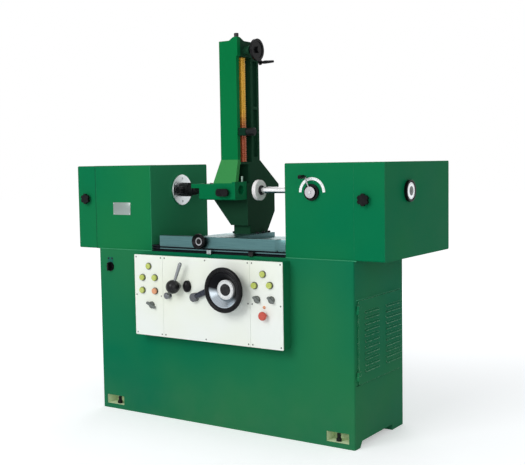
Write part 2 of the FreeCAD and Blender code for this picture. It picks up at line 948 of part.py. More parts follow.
# Fixture column
def wall_loft(top_face, bottom_face):
    """A flared wall between a rectangle at the flare's top and one at its bottom."""
    wires = []
    for (x0, x1, y0, y1), z in ((top_face, flare_top), (bottom_face, flare_bottom)):
        wires.append(Part.makePolygon([V(x0, y0, z), V(x1, y0, z), V(x1, y1, z), V(x0, y1, z),
                                       V(x0, y0, z)]))
    return Part.makeLoft(wires, True, True)


def make_column():
    shape = box(column_left, column_right, front_wall_outer, column_back, flare_top, column_top)
    shape = round_edges(shape, small_round, lambda edge: is_along(edge, "z")
                        and edge.BoundBox.XMax < column_left + touch_gap)
    wall_inner = column_left + column_wall
    shape = cut_rear_recesses(shape.fuse(make_pedestal()))
    shape = shape.cut(box(wall_inner, column_right + overrun, front_inner, rear_way,
                          lower_shelf, column_top + overrun))
    shape = shape.fuse(wall_loft((column_left, column_right, front_wall_outer, front_inner),
                                 (flare_left, column_right, flare_front, front_inner - flare_out_front)))
    shape = shape.fuse(wall_loft((column_left, wall_inner, front_wall_outer, rear_way),
                                 (flare_left, wall_inner - flare_out_left, flare_front, rear_way)))
    shape = shape.fuse(make_arm_web())
    shape = add_shelf(shape, lower_shelf)
    shape = add_shelf(shape, upper_shelf)
    block_left = arm_right - arm_end_block - touch_gap
    shape = shape.cut(box(block_left, column_right + overrun, flare_front - overrun,
                          arm_back + overrun, flare_bottom - overrun,
                          flare_bottom + arm_end_rise + touch_gap))
    shape = add_crank_bracket(shape)
    return add_top_lug(shape).removeSplitter()


def cut_rear_recesses(shape):
    """Two recesses in the open side of the rear wall, which leave a rib between them."""
    margin = recess_margin_share * (column_back - rear_way)
    rib_height = flare_top + rib_height_share * column_length
    for low, high in ((flare_top + recess_end, rib_height - rib_thickness / 2),
                      (rib_height + rib_thickness / 2, crank_bracket_low - recess_end)):
        recess = box(column_right - recess_depth, column_right + overrun, rear_way + margin,
                     column_back - margin, low, high)
        recess = round_edges(recess, edge_round, lambda edge: is_along(edge, "x"))
        shape = shape.cut(recess)
    return shape


def make_pedestal():
    """The heavy foot behind the arm, with a lug at its back and a taper to the cross slide."""
    lug_top = spindle_height + lug_rise
    lug_bottom = lug_top - lug_drop
    foot_low_back = cross_back - foot_low_inset
    foot_back = column_back + foot_reach
    lug_back = column_back + lug_reach
    knee = cross_top + foot_knee_share * (lug_bottom - cross_top)
    outline = [(pedestal_front, cross_top), (foot_low_back, cross_top), (foot_back, knee),
               (foot_back, lug_bottom), (lug_back, lug_bottom), (lug_back, lug_top),
               (column_back, flare_top), (pedestal_front, flare_top)]
    shape = prism_x(column_left, column_right, outline)
    return round_edges(shape, edge_round, lambda edge: is_along(edge, "x")
                       and edge.BoundBox.YMin > column_back + touch_gap
                       or is_along(edge, "z") and edge.BoundBox.YMax < pedestal_front + touch_gap)


def make_arm_web():
    """The web behind and under the guide arm, which carries it from the pedestal."""
    tip = arm_notch + web_tip
    low = cross_top + web_low_share * (arm_low - cross_top)
    outline = [(tip, arm_low + web_tip), (tip, arm_top), (column_right, arm_top),
               (column_right, low), (column_left, low)]
    return prism_y(arm_back, pedestal_front + edge_round, outline)


def add_shelf(shape, low):
    x, y = screw_place
    shelf = box(column_left + column_wall / 2, column_right, front_wall_outer + column_wall / 2,
                rear_way + column_wall / 2, low, low + shelf_thickness)
    return shape.fuse(shelf).cut(rod_z(low - overrun, low + shelf_thickness + overrun, x, y,
                                       screw_journal + shaft_gap))


def add_crank_bracket(shape):
    """The end plate and boss that carry the crank shaft across the column's open side."""
    y = screw_place[1]
    front = front_wall_outer
    back = rear_way + column_wall
    end_plate = box(column_right, crank_boss_start, front, back, crank_bracket_low, column_top)
    boss = rod_x(column_right, crank_boss_end, y, crank_height, crank_boss_radius)
    bore = rod_x(column_right - overrun, crank_boss_end + overrun, y, crank_height,
                 crank_shaft + shaft_gap)
    return shape.fuse(end_plate).fuse(boss).cut(bore)


def add_top_lug(shape):
    """A tapered lug on the front corner of the column's top, under the cap knob."""
    front = front_wall_outer
    right = crank_boss_start
    base = Part.makePolygon([V(right - top_lug_width, front, column_top), V(right, front, column_top),
                             V(right, front + top_lug_depth, column_top),
                             V(right - top_lug_width, front + top_lug_depth, column_top),
                             V(right - top_lug_width, front, column_top)])
    top = column_top + top_lug_height
    crown = Part.makePolygon([V(right - top_lug_crown, front, top), V(right, front, top),
                              V(right, front + top_lug_crown, top),
                              V(right - top_lug_crown, front + top_lug_crown, top),
                              V(right - top_lug_crown, front, top)])
    return shape.fuse(Part.makeLoft([base, crown], True, True))


def make_cap_knob():
    middle = crank_boss_start - top_lug_crown / 2
    y = front_wall_outer + top_lug_crown / 2
    low = column_top + top_lug_height
    knob = rod_z(low, low + cap_knob_height, middle, y, cap_knob_radius)
    return round_edges(knob, small_round, lambda edge: edge.BoundBox.ZMin > low + part_gap)


def make_arm():
    """The guide arm: a long block bored along the spindle axis, with a stepped left end."""
    top = arm_top
    shape = box(arm_left, arm_right, arm_front, arm_back, arm_low, top)
    shape = shape.cut(box(arm_left - overrun, arm_notch, arm_front - overrun, arm_back + overrun,
                          arm_low - overrun, top - arm_strip))
    end = box(arm_right - arm_end_block, arm_right, arm_front, arm_back, top, top + arm_end_rise)
    shape = shape.fuse(end).removeSplitter()
    shape = round_edges(shape, edge_round, lambda edge: is_along(edge, "x")
                        and edge.BoundBox.ZMax < arm_low + touch_gap)
    shape = shape.cut(rod_x(arm_left - overrun, arm_right + overrun, 0, spindle_height, arm_bore))
    x, z = arm_knob_place()
    shape = shape.cut(rod_y(arm_front - overrun, arm_front + arm_knob_neck, x, z,
                            arm_knob_stem + shaft_gap))
    x = arm_right - arm_end_block / 2
    top += arm_end_rise
    oiler = rod_z(top, top + oiler_height, x, oiler_back, oiler_radius)
    oiler = round_edges(oiler, small_round, lambda edge: edge.BoundBox.ZMin > top + part_gap)
    return shape, oiler


def arm_knob_place():
    return column_left + arm_knob_inset, spindle_height - arm_knob_drop


def make_arm_knob():
    x, z = arm_knob_place()
    back = arm_front - part_gap
    front = back - arm_knob_depth
    half_x = arm_knob_width / 2
    half_z = arm_knob_height / 2
    grip = box(x - half_x, x + half_x, front, back - arm_knob_neck, z - half_z, z + half_z)
    grip = round_edges(grip, half_z - small_round, lambda edge: is_along(edge, "y"))
    neck = rod_y(front, back, x, z, arm_knob_neck)
    stem = rod_y(back, arm_front + arm_knob_neck - part_gap, x, z, arm_knob_stem)
    return grip.fuse(neck).fuse(stem)


def bevel_gear(apex, direction, turn):
    """A straight bevel gear, cut from its cone by tapered grooves that run to the apex."""
    start = bevel_small + part_gap
    gear = Part.makeCone(bevel_small, bevel_large - part_gap, bevel_large - start,
                         apex + direction * start, direction)
    across = V(0, 1, 0)
    outer = bevel_large + bevel_small
    half = math.pi * outer / bevel_teeth / 4
    for tooth in range(bevel_teeth):
        mouth = apex + direction * outer + across * outer
        root = mouth - across * (2 * bevel_tooth)
        side = direction.cross(across) * half
        groove = tetrahedron(apex - across * bevel_tooth, root, mouth + across * bevel_tooth + side,
                             mouth + across * bevel_tooth - side)
        groove.rotate(apex, direction, 360 * (tooth + turn) / bevel_teeth)
        gear = gear.cut(groove)
    return gear


def tetrahedron(a, b, c, d):
    faces = [face_of(corners) for corners in ([a, b, c], [a, b, d], [a, c, d], [b, c, d])]
    return Part.makeSolid(Part.makeShell(faces))


def make_lead_screw():
    """The lead screw on two journals, with its bevel gear over the upper shelf."""
    x, y = screw_place
    low = lower_shelf + shelf_thickness + part_gap
    high = upper_shelf - part_gap
    gear_base = crank_height - bevel_large
    body = rod_z(low, high, x, y, screw_radius)
    lower = rod_z(lower_shelf, low, x, y, screw_journal)
    upper = rod_z(high, gear_base, x, y, screw_journal)
    gear = bevel_gear(V(x, y, crank_height), V(0, 0, -1), 0)
    return body.fuse(lower).fuse(upper).fuse(gear)


def make_slide():
    left = column_left + column_wall + touch_gap
    front = front_inner + touch_gap
    inner = box(left, column_right + part_gap, front, rear_way - touch_gap, slide_low, slide_top)
    outer = box(column_right + part_gap, slide_right, slide_front, slide_back, slide_low, slide_top)
    outer = round_edges(outer, small_round, lambda edge: is_along(edge, "x"))
    x, y = screw_place
    shape = inner.fuse(outer).cut(rod_z(slide_low - overrun, slide_top + overrun, x, y,
                                        screw_radius + shaft_gap))
    return shape.cut(rod_x(slide_right - pin_spigot, slide_right + overrun, 0, pin_height,
                           pin_spigot + shaft_gap))


def make_pin():
    end = slide_right + pin_length
    pin = rod_x(slide_right, end, 0, pin_height, pin_radius)
    pin = pin.makeChamfer(pin_chamfer, [edge for edge in pin.Edges
                                        if edge.BoundBox.XMin > end - touch_gap])
    return pin.fuse(rod_x(slide_right - pin_spigot + part_gap, slide_right, 0, pin_height, pin_spigot))


def crank_handle_place():
    lean = math.radians(crank_lean)
    return (screw_place[1] + crank_arm * math.sin(lean), crank_height - crank_arm * math.cos(lean))


def make_crank_wheel():
    """The crank wheel with its rim, web, hub and handle lug, its shaft and its bevel gear."""
    x, y = screw_place
    middle = crank_wheel_middle
    rim = tube_x(middle - crank_rim, middle + crank_rim, y, crank_height, crank_wheel_radius,
                 crank_wheel_radius - 2 * crank_rim)
    web = rod_x(middle - crank_web / 2, middle + crank_web / 2, y, crank_height,
                crank_wheel_radius - crank_rim)
    hub = rod_x(crank_boss_end + part_gap, middle + crank_hub_length / 2, y, crank_height, crank_hub)
    shaft = rod_x(x + bevel_large, crank_boss_end + part_gap, y, crank_height, crank_shaft)
    gear = bevel_gear(V(x, y, crank_height), V(1, 0, 0), 1 / 2)
    boss_y, boss_z = crank_handle_place()
    boss_end = middle + crank_rim
    boss = rod_x(middle, boss_end, boss_y, boss_z, crank_boss)
    lug = box(middle, boss_end, y - crank_boss, y + crank_boss, crank_height - crank_arm,
              crank_height - crank_wheel_radius + crank_rim)
    lug.rotate(V(middle, y, crank_height), V(1, 0, 0), crank_lean)
    pin = rod_x(boss_end, boss_end + crank_handle_length, boss_y, boss_z, crank_handle_radius / 2)
    return rim.fuse(web).fuse(hub).fuse(shaft).fuse(gear).fuse(boss).fuse(lug).fuse(pin)


def make_crank_handle():
    """A turned handle, thickest near its foot, that spins on the pin of the crank wheel."""
    y, z = crank_handle_place()
    start = crank_wheel_middle + crank_rim + part_gap
    end = start + crank_handle_length + overrun
    belly = start + crank_handle_length / 3
    slim = crank_handle_radius - crank_handle_taper
    shape = cone_x(start, belly, y, z, slim, crank_handle_radius)
    tip = cone_x(belly, end, y, z, crank_handle_radius, slim)
    tip = round_edges(tip, small_round, lambda edge: edge.BoundBox.XMin > end - touch_gap)
    return shape.fuse(tip).cut(rod_x(start - overrun, start + crank_handle_length, y, z,
                                     crank_handle_radius / 2 + shaft_gap))


# Heads
def make_head(seam_x, face_x, back, side):
    """A head casting, open at its foot, with bosses for the spindle at both ends."""
    low_x = min(seam_x, face_x)
    high_x = max(seam_x, face_x)
    top = cabinet_height + head_height
    shape = round_edges(box(low_x, high_x, head_front, back, cabinet_height, top), edge_round,
                        lambda edge: is_along(edge, "x") and edge.BoundBox.ZMin > top - touch_gap)
    cavity = box(low_x + casting_wall, high_x - casting_wall, head_front + casting_wall,
                 back - casting_wall, cabinet_height - overrun, top - casting_wall)
    cavity = round_edges(cavity, edge_round, lambda edge: is_along(edge, "x")
                         and edge.BoundBox.ZMin > top - casting_wall - touch_gap)
    shape = shape.cut(cavity)
    if back > cabinet_half_depth:
        shape = shape.fuse(box(low_x + plate, high_x - plate, cabinet_half_depth - casting_wall,
                               back - plate, cabinet_height, cabinet_height + casting_wall))
    for start in (low_x, high_x - boss_length):
        shape = shape.fuse(rod_x(start, start + boss_length, 0, spindle_height, boss_radius))
    shape = shape.cut(rod_x(low_x - overrun, high_x + overrun, 0, spindle_height,
                            spindle_radius + shaft_gap))
    seam_low = min(seam_x, seam_x - side * (casting_wall + overrun))
    seam_high = max(seam_x, seam_x - side * (casting_wall + overrun))
    return shape.cut(rod_x(seam_low - overrun, seam_high + overrun, motor_back, motor_height,
                           motor_shaft + part_gap))


def make_left_head():
    seam = left_seam
    shape = make_head(seam, -spindle_bed_gap, left_head_back, -1)
    for low in hinge_places():
        high = low + hinge_length / 2 - touch_gap
        pin = rod_z(low, high, seam, left_head_back + hinge_offset, hinge_pin)
        leaf = box(seam, seam + 2 * hinge_pin, left_head_back - casting_wall,
                   left_head_back + hinge_offset, low, high)
        shape = shape.fuse(pin).fuse(leaf)
    return shape.removeSplitter()


def hinge_places():
    low = cabinet_height + hinge_inset
    high = cabinet_height + head_height - hinge_inset - hinge_length
    return (low, high)


def make_cover(seam_x, end_x, back, star):
    """A light cover, hollow and open towards the head, with a hole for its star knob."""
    low_x = min(seam_x, end_x)
    high_x = max(seam_x, end_x)
    low = cabinet_height + cover_gap
    top = cabinet_height + head_height
    shape = round_edges(box(low_x, high_x, head_front, back, low, top), edge_round,
                        lambda edge: is_along(edge, "x"))
    open_low = low_x - overrun if seam_x < end_x else low_x + plate
    open_high = high_x - plate if seam_x < end_x else high_x + overrun
    shape = shape.cut(box(open_low, open_high, head_front + plate, back - plate, low + plate,
                          top - plate))
    x, z = star
    return shape.cut(rod_y(head_front - overrun, head_front + plate + overrun, x, z,
                           star_neck / 2 + shaft_gap))


def make_left_cover():
    seam = left_seam
    shape = make_cover(seam - cover_gap, seam - left_cover_length, left_head_back, left_star)
    for low in hinge_places():
        start = low + hinge_length / 2
        pin = rod_z(start, low + hinge_length, seam, left_head_back + hinge_offset, hinge_pin)
        leaf = box(seam - 2 * hinge_pin, seam - cover_gap, left_head_back - plate,
                   left_head_back + hinge_offset, start, low + hinge_length)
        shape = shape.fuse(pin).fuse(leaf)
    return shape.removeSplitter()


def make_right_cover():
    seam = right_seam
    end = seam + right_cover_length
    shape = make_cover(seam + cover_gap, end, right_head_back, right_star)
    return shape.cut(rod_x(end - plate - overrun, end + overrun, 0, spindle_height,
                           dial_shaft + shaft_gap))


def make_star_knob(place):
    """A star knob with scalloped sides on a short screw."""
    x, z = place
    back = head_front - part_gap
    front = back - star_depth
    shape = rod_y(front, back - star_neck, x, z, star_radius)
    for point in range(star_points):
        angle = 2 * math.pi * point / star_points
        notch_x = x + (star_radius + small_round) * math.cos(angle)
        notch_z = z + (star_radius + small_round) * math.sin(angle)
        shape = shape.cut(rod_y(front - overrun, back, notch_x, notch_z, star_scallop))
    neck = rod_y(back - star_neck, back, x, z, star_neck)
    stem = rod_y(back, head_front + plate + star_neck, x, z, star_neck / 2)
    return shape.fuse(neck).fuse(stem)


def make_motor(start, direction):
    """A finned motor on a foot, with a blind bore for its shaft."""
    end = start + direction * motor_length
    low_x = min(start, end)
    high_x = max(start, end)
    shape = rod_x(low_x, high_x, motor_back, motor_height, motor_radius)
    spacing = 360 / motor_fins
    for fin in range(motor_fins):
        rib = box(low_x + motor_inset, high_x - motor_inset, motor_back - motor_fin_width / 2,
                  motor_back + motor_fin_width / 2, motor_height,
                  motor_height + motor_radius + motor_fin_depth)
        rib.rotate(V(0, motor_back, motor_height), V(1, 0, 0), spacing * (fin + 1 / 2))
        shape = shape.fuse(rib)
    middle = (low_x + high_x) / 2
    foot = box(middle - motor_foot / 2, middle + motor_foot / 2, motor_back - motor_foot_depth / 2,
               motor_back + motor_foot_depth / 2, cabinet_height, cabinet_height + motor_foot_height)
    web = box(middle - motor_foot / 2, middle + motor_foot / 2, motor_back - motor_foot_depth / 4,
              motor_back + motor_foot_depth / 4, cabinet_height, motor_height)
    shape = shape.fuse(foot).fuse(web)
    bore_low = min(start - direction * overrun, start + direction * motor_bearing)
    bore_high = max(start - direction * overrun, start + direction * motor_bearing)
    return shape.cut(rod_x(bore_low, bore_high, motor_back, motor_height, motor_shaft + shaft_gap))


def pulley(middle, y, z, radius):
    """A flat belt pulley with a rim at each side, around a middle place on its axis."""
    half = pulley_width / 2
    drum = rod_x(middle - half, middle + half, y, z, radius)
    for low in (middle - half - pulley_rim, middle + half):
        drum = drum.fuse(rod_x(low, low + pulley_rim, y, z, radius + belt_thickness + part_gap))
    return drum


def make_motor_pulley(middle, motor_start, direction):
    drum = pulley(middle, motor_back, motor_height, motor_pulley)
    reach = motor_start + direction * (motor_bearing - part_gap)
    low = min(middle, reach)
    high = max(middle, reach)
    return drum.fuse(rod_x(low, high, motor_back, motor_height, motor_shaft))


def make_belt(middle):
    """The belt around both pulleys, with straight runs along their common tangents."""
    half = pulley_width / 2 - part_gap
    outer = belt_loop(middle - half, middle + half, belt_thickness + touch_gap)
    inner = belt_loop(middle - half - overrun, middle + half + overrun, touch_gap)
    return outer.cut(inner)


def belt_loop(x0, x1, extra):
    large = spindle_pulley + extra
    small = motor_pulley + extra
    distance = spindle_height - motor_height
    lean = math.asin((large - small) / distance)
    rise = math.sin(lean)
    reach = math.cos(lean)
    top = (spindle_height, large)
    low = (motor_height, small)
    right_top = V(x0, top[1] * reach, top[0] - top[1] * rise)
    right_low = V(x0, low[1] * reach, low[0] - low[1] * rise)
    left_top = V(x0, -top[1] * reach, top[0] - top[1] * rise)
    left_low = V(x0, -low[1] * reach, low[0] - low[1] * rise)
    crown = V(x0, 0, top[0] + top[1])
    foot = V(x0, 0, low[0] - low[1])
    edges = [Part.makeLine(right_low, right_top), Part.Arc(right_top, crown, left_top).toShape(),
             Part.makeLine(left_top, left_low), Part.Arc(left_low, foot, right_low).toShape()]
    return Part.Face(Part.Wire(edges)).extrude(V(x1 - x0, 0, 0))


# Spindles and tools
def make_boring_spindle(pulley_middle):
    nose = -spindle_bed_gap
    tail = pulley_middle - pulley_width / 2 - pulley_rim
    shape = rod_x(tail, nose + plate_gap, 0, spindle_height, spindle_radius)
    return shape.fuse(pulley(pulley_middle, 0, spindle_height, spindle_pulley))


def make_face_plate():
    start = plate_gap - spindle_bed_gap
    end = start + plate_length
    shape = rod_x(start, end, 0, spindle_height, plate_radius)
    return shape.makeChamfer(part_gap, [edge for edge in shape.Edges
                                        if edge.BoundBox.XMin > end - touch_gap])


def make_boring_bar():
    """The boring head: a lobed chuck with its setting knob, a collar and the bar in the arm."""
    start = chuck_start
    chuck_end = start + chuck_length
    shape = rod_x(start, chuck_end, 0, spindle_height, chuck_radius)
    for lobe in range(lobe_count):
        angle = 2 * math.pi * lobe / lobe_count + math.pi / 2
        reach = chuck_radius - chuck_lobe + small_round
        shape = shape.fuse(rod_x(start, chuck_end, reach * math.cos(angle),
                                 spindle_height + reach * math.sin(angle), chuck_lobe))
    shape = shape.fuse(rod_x(chuck_end, collar_end, 0, spindle_height, collar_radius))
    shape = shape.fuse(make_tool_knob((start + chuck_end) / 2))
    bar = rod_x(collar_end, bar_tip, 0, spindle_height, bar_radius)
    bar = bar.makeChamfer(small_round, [edge for edge in bar.Edges
                                        if edge.BoundBox.XMin > bar_tip - touch_gap])
    cutter = box(bar_tip - 2 * cutter_width, bar_tip - cutter_width, -cutter_width / 2,
                 cutter_width / 2, spindle_height, spindle_height + bar_radius + part_gap)
    return shape.fuse(bar).fuse(cutter)


def make_tool_knob(middle):
    """The notched knob on the front of the boring head that sets the cutter."""
    front = -tool_knob_reach
    knob = rod_y(front, -chuck_radius, middle, spindle_height, tool_knob_radius)
    for notch in range(tool_knob_notches):
        angle = 2 * math.pi * notch / tool_knob_notches
        x = middle + (tool_knob_radius + part_gap) * math.cos(angle)
        z = spindle_height + (tool_knob_radius + part_gap) * math.sin(angle)
        knob = knob.cut(rod_y(front - overrun, -chuck_radius, x, z, tool_knob_notch))
    return knob.fuse(rod_y(-chuck_radius - overrun, 0, middle, spindle_height,
                           tool_knob_radius - tool_knob_notch))


def make_grinding_spindle(pulley_middle):
    nose = spindle_bed_gap
    tail = pulley_middle + pulley_width / 2 + pulley_rim
    wheel_face = wheel_middle - wheel_width / 2
    shape = rod_x(nose, tail, 0, spindle_height, spindle_radius)
    shape = shape.fuse(pulley(pulley_middle, 0, spindle_height, spindle_pulley))
    quill_start = wheel_face + wheel_width + flange_depth
    shape = shape.fuse(rod_x(quill_start, nose, 0, spindle_height, quill_radius))
    return shape.fuse(rod_x(nose - quill_collar_length, nose, 0, spindle_height, quill_collar))


def make_wheel_flange():
    """The hub that clamps the wheel to the quill, with its hexagon nut in front."""
    front = wheel_middle - wheel_width / 2
    back = front + wheel_width
    hub = rod_x(front, back, 0, spindle_height, flange_hub)
    front_disc = rod_x(front - flange_depth, front, 0, spindle_height, flange_radius)
    back_disc = rod_x(back, back + flange_depth, 0, spindle_height, flange_radius)
    corners = [V(front - flange_depth - nut_height,
                 nut_width / 2 * math.cos(math.radians(angle)),
                 spindle_height + nut_width / 2 * math.sin(math.radians(angle)))
               for angle in range(0, 360, 60)]
    nut = face_of(corners).extrude(V(nut_height, 0, 0))
    return hub.fuse(front_disc).fuse(back_disc).fuse(nut)


def make_wheel():
    return tube_x(wheel_middle - wheel_width / 2, wheel_middle + wheel_width / 2, 0, spindle_height,
                  wheel_radius, wheel_bore)


# Feed controls
def make_feed_dial():
    face = right_seam + right_cover_length + part_gap
    end = face + dial_rim_depth
    shape = rod_x(face, end, 0, spindle_height, dial_rim_radius)
    shape = round_edges(shape, small_round - part_gap,
                        lambda edge: edge.BoundBox.XMin > end - touch_gap)
    shape = shape.cut(rod_x(end - dial_face_drop, end + overrun, 0, spindle_height, dial_face_radius))
    shaft = rod_x(face - part_gap - plate - small_round, face, 0, spindle_height, dial_shaft)
    return shape.fuse(shaft)


def make_feed_disc():
    x, z = scale_place
    back = head_front - part_gap - scale_depth
    front = back - feed_disc_depth
    shape = rod_y(front, back, x, z, feed_disc_radius)
    shape = round_edges(shape, small_round, lambda edge: edge.BoundBox.YMax < front + touch_gap)
    hub = rod_y(front - feed_hub_depth, front + small_round, x, z, feed_hub_radius)
    shaft = rod_y(back, head_front + casting_wall - part_gap, x, z, feed_shaft)
    return shape.fuse(hub).fuse(shaft)


def make_feed_lever():
    """The thin lever that rises from the hub, in front of the disc, and its neck for the grip."""
    x, z = scale_place
    disc_front = head_front - part_gap - scale_depth - feed_disc_depth
    middle = disc_front - touch_gap - feed_lever_radius
    lean = math.radians(feed_lever_angle)
    away = V(-math.sin(lean), 0, math.cos(lean))
    start = V(x, middle, z) + away * (feed_hub_radius + touch_gap)
    length = feed_lever_reach - feed_hub_radius - touch_gap
    arm = Part.makeCylinder(feed_lever_radius, length, start, away)
    end = V(x, middle, z) + away * feed_lever_reach
    neck = rod_y(middle - feed_neck_length, middle + feed_neck_radius, end.x, end.z,
                 feed_neck_radius)
    return arm.fuse(neck), end


def make_feed_grip(end):
    back = end.y - feed_neck_length
    front = back - feed_grip_length
    grip = rod_y(front, back, end.x, end.z, feed_grip_radius)
    return round_edges(grip, small_round, lambda edge: edge.BoundBox.YMax < front + touch_gap)


def build():
    left_pulley = left_seam - pulley_inset - pulley_width / 2
    right_pulley = right_seam + pulley_inset + pulley_width / 2
    left_motor = left_seam + casting_wall + part_gap
    right_motor = right_seam - casting_wall - part_gap

    save("cabinet_base", make_cabinet())
    save("levelling_screws", make_levelling_screws())
    save("cabinet_door", make_door())
    save("main_switch", make_main_switch())
    save("panel_housing", make_panel_housing())
    left_names = [name for name in list(buttons) + list(selectors) if "left" in name]
    right_names = [name for name in list(buttons) + list(selectors) if "right" in name]
    middle_holes = [(lever_hub_place, lever_shaft + touch_gap),
                    (throttle_place, button_stem + touch_gap),
                    (chrome_place, button_stem + touch_gap), (reverse_place, button_stem + touch_gap),
                    (handwheel_place, handwheel_shaft + touch_gap)]
    right_holes = panel_holes(right_names) + [(emergency_place, button_stem + touch_gap)]
    save("panel_plates", Part.makeCompound([
        make_panel_plate(panel_left, panel_seam_left - seam_gap, panel_holes(left_names)),
        make_panel_plate(panel_seam_left, panel_seam_right, middle_holes),
        make_panel_plate(panel_seam_right + seam_gap, panel_right, right_holes)]))
    save("control_bezels", make_bezels())
    save("indicator_lamps", make_lamps())
    for name, place in buttons.items():
        save(name, make_button(place))
    for name in selectors:
        save(name, make_selector(name))
    save("emergency_stop", make_emergency_stop())
    save("hydraulic_lever", make_hydraulic_lever())
    save("throttle_knob", make_throttle_knob())
    save("chrome_knob", make_chrome_knob())
    save("reverse_lever", make_reverse_lever())
    save("handwheel_rim", make_handwheel_rim())
    save("handwheel_dish", make_handwheel_dish())
    save("handwheel_dial", Part.makeCompound([make_handwheel_dial(), make_handwheel_cap()]))
    save("machine_bed", make_bed())
    save("travel_stops", make_stops())
    save("saddle", make_saddle())
    save("cross_slide", make_cross_slide())
    save("cross_feed_knob", make_cross_knob())
    save("fixture_column", make_column())
    arm, oiler = make_arm()
    save("guide_arm", arm)
    save("column_fittings", Part.makeCompound([make_cap_knob(), oiler]))
    save("arm_clamp_knob", make_arm_knob())
    save("lead_screw", make_lead_screw())
    save("column_slide", make_slide())
    save("small_end_pin", make_pin())
    save("crank_wheel", make_crank_wheel())
    save("crank_handle", make_crank_handle())
    save("left_head_housing", make_left_head())
    save("left_end_cover", make_left_cover())
    save("left_cover_knob", make_star_knob(left_star))
    save("right_head_housing", make_head(right_seam, spindle_bed_gap, right_head_back, 1).cut(
        rod_y(head_front - overrun, head_front + casting_wall + overrun, scale_place[0],
              scale_place[1], feed_shaft + shaft_gap)))
    save("right_end_cover", make_right_cover())
    save("right_cover_knob", make_star_knob(right_star))
    save("boring_motor", make_motor(left_motor, 1))
    save("boring_motor_pulley", make_motor_pulley(left_pulley, left_motor, 1))
    save("boring_spindle", make_boring_spindle(left_pulley))
    save("boring_face_plate", make_face_plate())
    save("boring_bar", make_boring_bar())
    save("grinding_motor", make_motor(right_motor, -1))
    save("grinding_motor_pulley", make_motor_pulley(right_pulley, right_motor, -1))
    save("drive_belts", Part.makeCompound([make_belt(left_pulley), make_belt(right_pulley)]))
    save("grinding_spindle", make_grinding_spindle(right_pulley))
    save("wheel_flange", make_wheel_flange())
    save("grinding_wheel", make_wheel())
    save("feed_dial", make_feed_dial())
    save("feed_disc", make_feed_disc())
    lever, lever_end = make_feed_lever()
    save("feed_lever", lever)
    save("feed_lever_grip", make_feed_grip(lever_end))


build()
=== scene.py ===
# %% [markdown]
# A connecting rod grinding machine stands on a workshop floor: a wide green cabinet, two heads that
# face each other, a column on a sliding table between them and a pale control panel. The solid
# parts come ready made, so this lesson only dresses them: it gives every surface its finish and
# adds the small pieces that a solid model leaves out.

# %% Load the machine
import bpy
import bmesh
import math
from mathutils import Matrix, Vector


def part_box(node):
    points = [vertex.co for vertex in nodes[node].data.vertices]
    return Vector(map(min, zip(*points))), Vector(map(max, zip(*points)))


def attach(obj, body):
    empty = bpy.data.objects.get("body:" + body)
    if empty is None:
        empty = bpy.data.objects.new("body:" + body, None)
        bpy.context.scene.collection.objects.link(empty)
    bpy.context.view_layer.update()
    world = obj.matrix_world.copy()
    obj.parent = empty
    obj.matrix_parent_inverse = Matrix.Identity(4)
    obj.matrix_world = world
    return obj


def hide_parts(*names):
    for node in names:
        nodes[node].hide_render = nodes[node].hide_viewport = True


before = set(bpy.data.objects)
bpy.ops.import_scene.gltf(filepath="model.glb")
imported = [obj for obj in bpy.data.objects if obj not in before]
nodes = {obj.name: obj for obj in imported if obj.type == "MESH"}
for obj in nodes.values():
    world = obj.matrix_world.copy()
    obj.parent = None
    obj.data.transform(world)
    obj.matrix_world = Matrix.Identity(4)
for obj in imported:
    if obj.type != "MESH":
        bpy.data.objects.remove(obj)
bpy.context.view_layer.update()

# %% Measure what carries the small pieces
MM = 0.001


def middle_of(node):
    low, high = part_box(node)
    return (low + high) / 2


for name in ("cabinet_base", "fixture_column", "panel_plates"):
    low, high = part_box(name)
    print(name, [round(v, 3) for v in low], [round(v, 3) for v in high])

# %% [markdown]
# The camera stands where the photographer stood: to the right of the machine, a little above its
# spindles, looking slightly down. Azimuth, tilt and roll, in radians, make its three axes, and the
# lens is written in millimetres on a sensor 36 mm wide.

# %% Place the camera
AZIMUTH = 0.58767
TILT = 0.07545
ROLL = -0.01578
LENS = 63.40
SENSOR = 36
FAR_CLIP = 100
STAND = Vector((2.48035, -3.56501, 1.19908))


def camera_axes():
    right = Vector((math.cos(AZIMUTH), math.sin(AZIMUTH), 0))
    ahead = Vector((-math.sin(AZIMUTH) * math.cos(TILT), math.cos(AZIMUTH) * math.cos(TILT),
                    -math.sin(TILT)))
    up = right.cross(ahead)
    rolled_right = right * math.cos(ROLL) + up * math.sin(ROLL)
    rolled_up = up * math.cos(ROLL) - right * math.sin(ROLL)
    return rolled_right, rolled_up, ahead


right, up, ahead = camera_axes()
camera_data = bpy.data.cameras.new("photo_camera")
camera_data.lens = LENS
camera_data.sensor_width = SENSOR
camera_data.clip_end = FAR_CLIP
camera = bpy.data.objects.new("photo_camera", camera_data)
turn = Matrix((right, up, -ahead)).transposed()
camera.matrix_world = Matrix.Translation(STAND) @ turn.to_4x4()
bpy.context.scene.collection.objects.link(camera)
bpy.context.scene.camera = camera
print("camera height", round(STAND.z, 2), "m")

# %% [markdown]
# The studio is a pale floor under a white sky. The full white is only what the camera, polished
# metal and glass see of the sky. The light that the sky sheds on the machine is much weaker and
# plain, so each paint looks as it is written.

# %% White sky
scene = bpy.context.scene
scene.view_settings.view_transform = "Standard"
SKY_LIGHT = 0.42


def seen_directly(tree):
    """1 for the camera's own rays and for those that metal or glass sends on."""
    path = tree.nodes.new("ShaderNodeLightPath")
    seen = path.outputs["Is Camera Ray"]
    for ray in ("Is Glossy Ray", "Is Transmission Ray"):
        either = tree.nodes.new("ShaderNodeMath")
        either.operation = "MAXIMUM"
        tree.links.new(seen, either.inputs[0])
        tree.links.new(path.outputs[ray], either.inputs[1])
        seen = either.outputs[0]
    return seen


